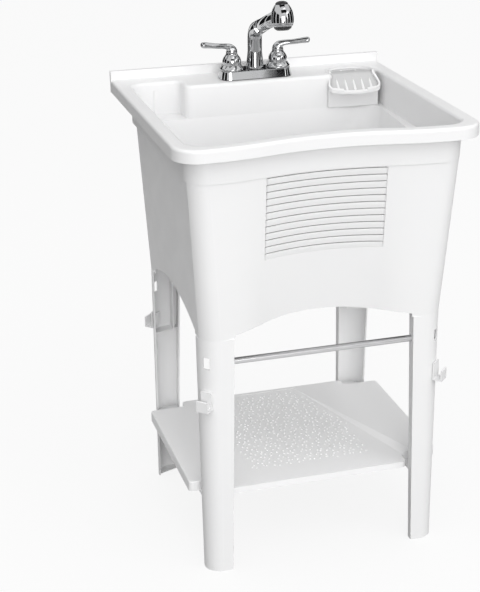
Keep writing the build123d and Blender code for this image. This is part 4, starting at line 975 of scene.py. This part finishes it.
@dataclass
class Valve:
    """One side's two-tier bell and its swan-necked lever."""

    side: int
    name: str
    sweep: float
    spacing: float = 101.6 * MM
    back: float = 222 * MM
    # How many points each run of a profile gets, and how many go round
    bell_steps: int = 5
    ball_steps: int = 6
    lever_steps: int = 6
    turns: int = 64

    # Rows of radius and height, in millimetres
    BELL = (
        (24.6, 916.8), (25.3, 917.4), (25.6, 919.0), (24.9, 920.8), (23.0, 923.4), (21.2, 925.6),
        (20.0, 927.0),
    )
    BALL = (
        (19.1, 927.5), (19.6, 930.0), (19.9, 933.5), (19.3, 937.5), (17.6, 941.6), (15.3, 945.0),
        (13.2, 947.6), (12.1, 949.8), (11.8, 952.0), (11.8, 954.8),
    )
    # Along the lever, in millimetres: the outer or upper edge and the inner or lower edge (each as
    # distance out and height), and the half width
    LEVER = (
        (-11.6, 955.1, 11.6, 955.1, 11.6), (-11.4, 957.5, 11.0, 956.6, 11.3),
        (-9.8, 961.5, 11.3, 958.3, 10.4), (-6.0, 966.0, 13.2, 960.2, 9.4),
        (0.0, 969.8, 16.8, 961.5, 8.4), (9.0, 971.9, 22.0, 962.4, 7.5),
        (20.0, 972.9, 29.0, 963.0, 7.0), (32.0, 974.0, 37.5, 963.8, 6.9),
        (45.0, 976.2, 48.0, 965.2, 7.4), (56.0, 978.2, 57.0, 966.0, 7.9),
        (62.5, 979.0, 62.5, 966.4, 8.0), (65.7, 978.2, 65.7, 967.4, 7.2),
        (67.4, 976.0, 67.4, 969.5, 5.0), (68.0, 972.8, 68.0, 972.8, 0.0),
    )

    def build(self, dresser: Dresser) -> None:
        """Makes the bell and the lever.

        Args:
            dresser: where the pieces are made and dressed.
        """
        place = (self.side * self.spacing / 2, self.back, 0.0)
        tiers = smooth_line(self.BELL, self.bell_steps), smooth_line(self.BALL, self.ball_steps)
        bell = turned(np.vstack(tiers) * MM, self.turns, place)
        lever = "lever_" + self.name
        dresser.add("bell_" + self.name, [bell], CHROME, "sink", "valve_bell_" + self.name)
        dresser.add("handle_" + self.name, [self._lever(place)], CHROME, lever, lever)

    def _lever(self, place: Point) -> Array:
        """The lever, from the round foot of its neck to the tip of its blade.

        Formula: an oval carried along the middle of two edge lines. Its height at a station joins
        the two edges, and its width is square to them and level. The left lever is the right one
        mirrored, with the order round each oval turned about so that it still faces outwards.

        Args:
            place: the valve's axis.

        Returns:
            A grid of points.
        """
        line = smooth_line(self.LEVER, self.lever_steps) * MM
        outer, inner = line[:, 0:2], line[:, 2:4]
        middle, half = (outer + inner) / 2, (outer - inner) / 2
        tall = np.linalg.norm(half, axis=1, keepdims=True)
        way = half / np.maximum(tall, LEAST_LENGTH)
        out = np.array([math.cos(self.sweep), -math.sin(self.sweep), 0.0])
        across = np.array([math.sin(self.sweep), math.cos(self.sweep), 0.0])
        centres = middle[:, :1] * out + middle[:, 1:] * UP
        ups = way[:, :1] * out + way[:, 1:] * UP
        grid = carried(centres, across, ups, np.hstack([line[:, 4:], tall]), self.turns)
        if self.side < 0:
            grid = (grid * np.array([-1.0, 1.0, 1.0]))[:, ::-1]
        return grid + np.array(place)


# ---------------------------------------------------------------- soap dish


@dataclass
class DishTray:
    """A thin grey sheet of painted shade on the dish's floor, and the ribs that stand out of it."""

    place: Point = (206 * MM, 184 * MM, 901.3 * MM)
    turn: float = math.radians(-5.0)
    depth: float = 5 * MM
    knee: float = 8 * MM
    fall: float = 33 / 43
    # Half the thickness of the sheet of painted shade
    shade_film: float = 0.35 * MM
    shade_film_points: int = 13
    ribs: int = 5
    rib_pitch: float = 18 * MM
    rib_front: float = -29 * MM
    rib_length: float = 24 * MM
    rib_height: float = 3.0 * MM
    rib_half: float = 3.1 * MM
    rib_taper: float = 0.45
    rib_stations: int = 15
    rib_turns: int = 20

    # In millimetres: distance back and half width of the floor in front of the slot and behind it
    AHEAD = (
        (-30.5, 18.0), (-29.5, 30.0), (-28.2, 40.0), (-26.5, 46.0), (-24.0, 50.0), (-20.0, 52.6),
        (-14.0, 51.5), (-8.0, 49.8), (0.0, 46.5), (4.0, 45.2), (8.0, 45.9), (9.0, 46.3), (14.0, 50.5),
        (20.0, 48.9), (27.5, 45.2),
    )
    BEHIND = ((38.7, 35.0), (43.0, 28.8), (46.0, 22.0), (48.0, 12.0))
    # Distance back and the sides nearer to and further from the middle, beside the slot
    BESIDE = ((27.5, 18.0, 45.2), (33.0, 18.6, 41.2), (38.7, 18.0, 35.0))

    def build(self, dresser: Dresser) -> None:
        """Makes the sheet of painted shade and the ribs.

        Args:
            dresser: where the pieces are made and dressed.
        """
        middle = (self.ribs - 1) / 2
        ribs = [self._rib((number - middle) * self.rib_pitch) for number in range(self.ribs)]
        shade_films = [[(back, -half, half) for back, half in rows] for rows in (self.AHEAD, self.BEHIND)]
        shade_films += [list(self.BESIDE), [(back, -far, -near) for back, near, far in self.BESIDE]]
        # The grey sheet is painted shade, and the bright ribs stand out of it
        dresser.add("dish_shade_film", [self._shade_film(rows) for rows in shade_films], DISH_SHADE_FILM, "dish")
        dresser.add("dish_ribs", ribs, DISH_SHADED_WHITE, "dish")

    def _level(self, back: Array) -> Array:
        """The floor's height: level behind the knee and falling evenly in front of it."""
        return -self.depth - self.fall * np.maximum(self.knee - back, 0.0)

    def _stand(self, grid: Array) -> Array:
        """Moves a surface to the dish's place.

        Formula: the point turns about the dish's upright axis, then moves with its middle.

        Args:
            grid: points about the dish's middle.

        Returns:
            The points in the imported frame.
        """
        x, y, z = np.moveaxis(grid, -1, 0)
        c, s = math.cos(self.turn), math.sin(self.turn)
        return np.stack([c * x - s * y, s * x + c * y, z], axis=-1) + np.array(self.place)

    def _shade_film(self, outline: Sequence[tuple[float, float, float]]) -> Array:
        """A thin sheet of painted shade on the floor, which leaves the slot free.

        Formula: at each distance back it is a flat loop, from its right side to its left above the
        floor and back again below it.

        Args:
            outline: rows of (distance back, left side, right side), in millimetres.

        Returns:
            A grid of points: rows from front to back, then points round each loop.
        """
        rows = np.array(outline) * MM
        to_right = np.linspace(0.0, 1.0, self.shade_film_points)
        across = np.concatenate([to_right[::-1], to_right])
        above = np.repeat([1.0, -1.0], self.shade_film_points) * self.shade_film
        x = rows[:, 1:2] + (rows[:, 2:] - rows[:, 1:2]) * across
        y = rows[:, :1] + 0 * x
        return self._stand(np.stack([x, y, self._level(y) + above], axis=-1))

    def _rib(self, side: float) -> Array:
        """One rib, an oval that tapers towards the back along the sloping floor.

        Formula: at the share t of its length its half width and height are their largest values
        times (1 - taper t) sqrt(1 - (2 t - 1)^4), which rounds both ends.

        Args:
            side: how far to the side it stands.

        Returns:
            A grid of points.
        """
        share = np.linspace(0.0, 1.0, self.rib_stations)
        back = self.rib_front + self.rib_length * share
        swell = np.sqrt(np.clip(1 - (2 * share - 1) ** 4, 0.0, 1.0)) * (1.0 - self.rib_taper * share)
        centres = np.stack([0 * back + side, back, self._level(back)], axis=-1)
        sizes = np.stack([swell * self.rib_half, swell * self.rib_height], axis=-1)
        return self._stand(carried(centres, -RIGHT, UP, sizes, self.rib_turns))


# ---------------------------------------------------------------- washboard


@dataclass
class Washboard:
    """The slats on the front of the skirt, which fill its stepped hollow up to a thin groove each."""

    top: float = 821 * MM
    pitch: float = 13.9 * MM
    slats: int = 12
    half_width: float = 119.0 * MM
    # The wall's middle and its bend (one over its radius), at the board's top and at its foot
    middle: tuple[float, float] = (-230.1 * MM, -207.88 * MM)
    hollow: tuple[float, float] = (1.8418, 2.8777)
    # The groove's height, how far a slat stands in front of the wall and how deep its two ends go
    groove: float = 1.7 * MM
    proud: float = 1.3 * MM
    top_depth: float = 5.3 * MM
    foot_depth: float = 1.2 * MM
    ease: float = 0.05 * MM
    # The cuts of the slat's rounded upper and lower front edges, and the points that each gets
    upper_cut: float = 0.7 * MM
    lower_cut: float = 0.3 * MM
    rounding: int = 4
    stations: int = 49

    # The dark strip of painted shade in a groove: depth behind the wall and distance below the slat's top
    # line, in millimetres
    GROOVE_SHADE_OUTLINE = ((5.4, 0.1), (2.3, 0.1), (2.3, 1.9), (5.4, 1.9))

    def build(self, dresser: Dresser) -> None:
        """Makes the slats and a dark strip of painted shade in each groove.

        Formula: each is a closed outline carried across the front. Its outline is given as the
        depth behind the skirt's wall and the distance below the slat's top line.

        Args:
            dresser: where the pieces are made and dressed.
        """
        foot = self.pitch - self.ease
        slat = rounded_line([
            (self.top_depth, self.groove, 0),
            (-self.proud, self.groove, self.upper_cut),
            (self.ease, foot, self.lower_cut),
            (self.foot_depth, foot, 0),
        ], self.rounding)
        # A dark strip in each groove: painted shade where the grooves lie in shadow
        shade_film = np.array(self.GROOVE_SHADE_OUTLINE) * MM
        for name, outline, finish in (
            ("board_slats", slat, TUB_WHITE), ("board_groove_shade", shade_film, GROOVE_SHADE),
        ):
            dresser.add(name, [self._across(outline, row) for row in range(self.slats)], finish, "sink")

    def _across(self, outline: Array, row: int) -> Array:
        """One outline carried across the hollow front of the skirt.

        Formula: at the height z the wall is an arc whose middle and whose bend (one over its radius
        r) change evenly from the board's top to its foot. A point x to the side of the middle lies
        r - sqrt(r r - x x) further forward.

        Args:
            outline: rows of (depth behind the wall, distance below the slat's top line).
            row: which slat, from the top.

        Returns:
            A grid of points: stations, then outline points.
        """
        x = np.linspace(-self.half_width, self.half_width, self.stations)[:, None]
        z = self.top - row * self.pitch - outline[:, 1]
        share = (self.top - z) / (self.pitch * self.slats)
        middle = self.middle[0] + share * (self.middle[1] - self.middle[0])
        radius = 1 / (self.hollow[0] + share * (self.hollow[1] - self.hollow[0]))
        y = middle + outline[:, 0] - (radius - np.sqrt(radius**2 - x**2))
        return np.stack([x + 0 * y, y, z + 0 * y], axis=-1)


# ---------------------------------------------------------------- shelf


@dataclass
class GripField:
    """Small raised dots that keep things from sliding on the shelf's floor."""

    half_width: float = 128 * MM
    front: float = -157 * MM
    back: float = 148 * MM
    pitch: float = 12.6 * MM
    radius: float = 2.0 * MM
    height: float = 1.7 * MM
    sunk: float = 0.5 * MM
    margin: float = 6 * MM
    dome_points: int = 4
    turns: int = 8
    # Distance back, half width and height of the shelf's floor at its front and at its back
    floor_front: tuple[float, float, float] = (-227 * MM, 206 * MM, 172 * MM)
    floor_back: tuple[float, float, float] = (165 * MM, 72 * MM, 179.6 * MM)
    seed: int = 4

    def build(self, dresser: Dresser) -> None:
        """Makes the dots.

        Formula: the dots stand on a skewed grid, each moved by up to a third of the pitch. The
        shelf's floor narrows and rises evenly from front to back, and a dot outside it is left out.

        Args:
            dresser: where the piece is made and dressed.
        """
        rng = np.random.default_rng(self.seed)
        x, y = np.meshgrid(
            np.arange(-self.half_width, self.half_width, self.pitch),
            np.arange(self.front, self.back, self.pitch),
        )
        skew = 0.5 * self.pitch * (np.arange(len(x)) % 2)[:, None]
        x = x + skew + rng.uniform(-1, 1, x.shape) * self.pitch / 3
        y = y + rng.uniform(-1, 1, y.shape) * self.pitch / 3
        share = (y - self.floor_front[0]) / (self.floor_back[0] - self.floor_front[0])
        half, level = (
            front + share * (back - front) for front, back in zip(self.floor_front[1:], self.floor_back[1:])
        )
        kept = (np.abs(x) < half - self.margin) & (np.abs(x) < self.half_width)
        turn = np.linspace(0.0, QUARTER, self.dome_points)
        dome = np.stack([self.radius * np.cos(turn), self.height * np.sin(turn)], axis=-1)
        dot = turned(np.vstack([[(self.radius, -self.sunk)], dome]), self.turns)
        spots = np.stack([x[kept], y[kept], level[kept]], axis=-1)
        dresser.add("shelf_grip", [dot + spot for spot in spots], SHELF_LIT_WHITE, "sink")


# ---------------------------------------------------------------- studio


@dataclass
class Studio:
    """Pale floor and light, dark cards for the chrome to mirror, and the photograph's camera."""

    camera_place: Point = (-0.88808, -2.69419, 1.62224)
    yaw: float = 0.283869
    pitch: float = 0.382836
    roll: float = -0.00898983
    # The focal length and the picture's height, in pixels of the photograph
    focal: float = 1457.795
    image_height: float = 592.0
    sensor: float = 36.0
    clip_end: float = 200.0
    floor_half: float = 30.0
    # What the floor's paper reflects, what it throws back at the sink, and its glow where it is seen
    paper: Colour = (0.8, 0.8, 0.8)
    spill: Colour = (0.2, 0.2, 0.2)
    glow: float = 0.86
    # Axis and strength of the world's light
    lobes: tuple[tuple[Point, float], ...] = (
        ((0.0, -1.0, 0.0), 0.53), ((0.0, 0.0, 1.0), 1.01), ((-1.0, 0.0, 0.0), 0.09),
    )
    # Name, place, side and power
    lamps: tuple[tuple[str, Point, float, float], ...] = (
        ("beside_camera", (-0.6, -4.4, 1.5), 2.0, 91.0),
        ("right", (3.3, -3.1, 2.7), 2.2, 24.0),
        ("high", (0.8, -2.6, 4.0), 2.2, 16.0),
    )
    lamp_aim: Point = (0.0, 0.0, 0.6)
    card_black: Colour = (0.012, 0.012, 0.013)
    # Middle, half width and half height
    cards: tuple[tuple[Point, Point, Point], ...] = (
        ((0.2, -1.7, 2.7), (1.2, 0.0, 0.0), (0.0, 0.5, 0.12)),
        ((0.0, 0.6, 4.5), (1.6, 0.0, 0.0), (0.0, 1.6, 0.0)),
    )
    # Bearing from the middle of the sink and width, in degrees, and the height of a dark stripe
    stripes: tuple[tuple[float, float, float], ...] = (
        (76.0, 40.0, 2.3), (124.0, 32.0, 2.3), (163.0, 34.0, 2.3), (204.0, 30.0, 2.3),
        (232.0, 12.0, 1.6), (247.0, 7.0, 1.2), (272.0, 12.0, 1.1), (296.0, 14.0, 1.8),
        (323.0, 24.0, 2.3), (358.0, 32.0, 2.3), (34.0, 30.0, 2.3),
    )
    stripe_distance: float = 2.9
    stripe_foot: float = 0.01

    def build(self) -> None:
        """Builds the floor, the world, the lamps, the dark cards and the camera."""
        self._floor()
        self._world()
        self._lamps()
        self._cards()
        self._camera()

    def _floor(self) -> None:
        """A wide pale plane that the camera and the chrome see as white, shaded by the object."""
        made = bpy.data.materials.new("studio_floor")
        graph = Graph.of(made)
        paper = graph.add("ShaderNodeBsdfDiffuse")
        light = graph.add("ShaderNodeEmission")
        light.inputs["Strength"].default_value = 1.0
        mixed = graph.add("ShaderNodeMixShader")
        spread = graph.add("ShaderNodeLightPath").outputs["Is Diffuse Ray"]
        graph.join(graph.blend(self.paper, self.spill, spread), paper.inputs["Color"])
        graph.join(graph.math("MULTIPLY", graph.seen(), self.glow), mixed.inputs["Fac"])
        graph.join(paper.outputs["BSDF"], mixed.inputs[1])
        graph.join(light.outputs["Emission"], mixed.inputs[2])
        graph.put_out(mixed.outputs["Shader"])
        half = self.floor_half
        flat_card("studio_floor", (0.0, 0.0, 0.0), (half, 0.0, 0.0), (0.0, half, 0.0), made)

    def _world(self) -> None:
        """Pale light from above and from the front, seen as white by the camera and by metal.

        Formula: in each direction the light is the sum of its lobes, and a lobe is its strength
        times how far that direction points along the lobe's axis, or nothing where it points away.
        """
        world = bpy.data.worlds.new("studio_world")
        bpy.context.scene.world = world
        graph = Graph.of(world)
        back = graph.add("ShaderNodeBackground")
        back.inputs["Color"].default_value = (1.0, 1.0, 1.0, 1.0)
        spot = graph.add("ShaderNodeTexCoord")
        total: object = 0.0
        for axis, strength in self.lobes:
            lobe = graph.add("ShaderNodeVectorMath", operation="DOT_PRODUCT")
            graph.join(spot.outputs["Generated"], lobe.inputs[0])
            lobe.inputs[1].default_value = axis
            held = graph.math("MULTIPLY", graph.math("MAXIMUM", lobe.outputs["Value"], 0.0), strength)
            total = graph.math("ADD", held, total)
        level = graph.add("ShaderNodeMix", data_type="FLOAT")
        graph.join(graph.seen(), level.inputs["Factor"])
        graph.join(total, level.inputs["A"])
        level.inputs["B"].default_value = 1.0
        graph.join(level.outputs["Result"], back.inputs["Strength"])
        graph.put_out(back.outputs["Background"], "ShaderNodeOutputWorld")

    def _lamps(self) -> None:
        """A large lamp beside the camera and two weaker ones, higher and from the right.

        Formula: a lamp faces its aim, and its right side is level.
        """
        for name, place, size, power in self.lamps:
            light = bpy.data.lights.new(name, "AREA")
            light.size = size
            light.energy = power
            ahead = np.array(self.lamp_aim) - np.array(place)
            ahead /= np.linalg.norm(ahead)
            right = np.cross(ahead, UP)
            right /= np.linalg.norm(right)
            linked(name, light).matrix_world = facing(place, right, np.cross(right, ahead), ahead)

    def _cards(self) -> None:
        """Dark cards that only mirror rays see, so that bright metal shows dark edges."""
        made = bpy.data.materials.new("dark_card")
        graph = Graph.of(made)
        felt = graph.add("ShaderNodeEmission")
        felt.inputs["Color"].default_value = (*self.card_black, 1.0)
        graph.put_out(felt.outputs["Emission"])
        for number, (middle, across, up) in enumerate([*self.cards, *self._stripe_cards()]):
            card = flat_card(f"dark_card_{number}", middle, across, up, made)
            for rays in ("camera", "diffuse", "shadow", "transmission"):
                setattr(card, "visible_" + rays, False)

    def _stripe_cards(self) -> list[tuple[Point, Point, Point]]:
        """The dark stripes as upright cards that stand in a ring on the floor.

        Returns:
            Each card's middle, half width and half height.
        """
        found = []
        for bearing, width, height in self.stripes:
            turn = math.radians(bearing)
            c, s = math.cos(turn), math.sin(turn)
            wide = self.stripe_distance * math.tan(math.radians(width / 2))
            middle = (self.stripe_distance * c, self.stripe_distance * s, height / 2 + self.stripe_foot)
            found.append((middle, (-wide * s, wide * c, 0.0), (0.0, 0.0, height / 2)))
        return found

    def _camera(self) -> None:
        """The camera that a fit to the photograph's edges gave.

        Formula: the yaw turns it to its right from straight back along +Y, the pitch tips it down
        and the roll turns it about the direction that it faces.
        """
        data = bpy.data.cameras.new("photo_camera")
        data.sensor_width = self.sensor
        data.lens = self.focal / self.image_height * self.sensor
        data.clip_end = self.clip_end
        camera = linked("photo_camera", data)
        sine, cosine = math.sin(self.yaw), math.cos(self.yaw)
        flat = math.cos(self.pitch)
        ahead = np.array((sine * flat, cosine * flat, -math.sin(self.pitch)))
        level = np.array((cosine, -sine, 0.0))
        above = np.cross(level, ahead)
        right = math.cos(self.roll) * level + math.sin(self.roll) * above
        up = -math.sin(self.roll) * level + math.cos(self.roll) * above
        camera.matrix_world = facing(self.camera_place, right, up, ahead)
        bpy.context.scene.camera = camera


# ---------------------------------------------------------------- main


def main() -> None:
    """Loads the frame, dresses it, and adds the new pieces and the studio."""
    logging.basicConfig(level=logging.INFO, format="%(name)s: %(message)s")
    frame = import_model()
    dresser = Dresser(frame["nodes"], EffectLibrary())
    dresser.dress()
    line = ArmLine()
    sub_assemblies = (
        Spout(line),
        Spray(line),
        Valve(-1, "hot", HOT_SWEEP),
        Valve(1, "cold", COLD_SWEEP),
        DishTray(),
        Washboard(),
        GripField(),
    )
    for sub_assembly in sub_assemblies:
        sub_assembly.build(dresser)
    Studio().build()
    bpy.context.scene.view_settings.view_transform = "Standard"


if __name__ == "__main__":
    main()
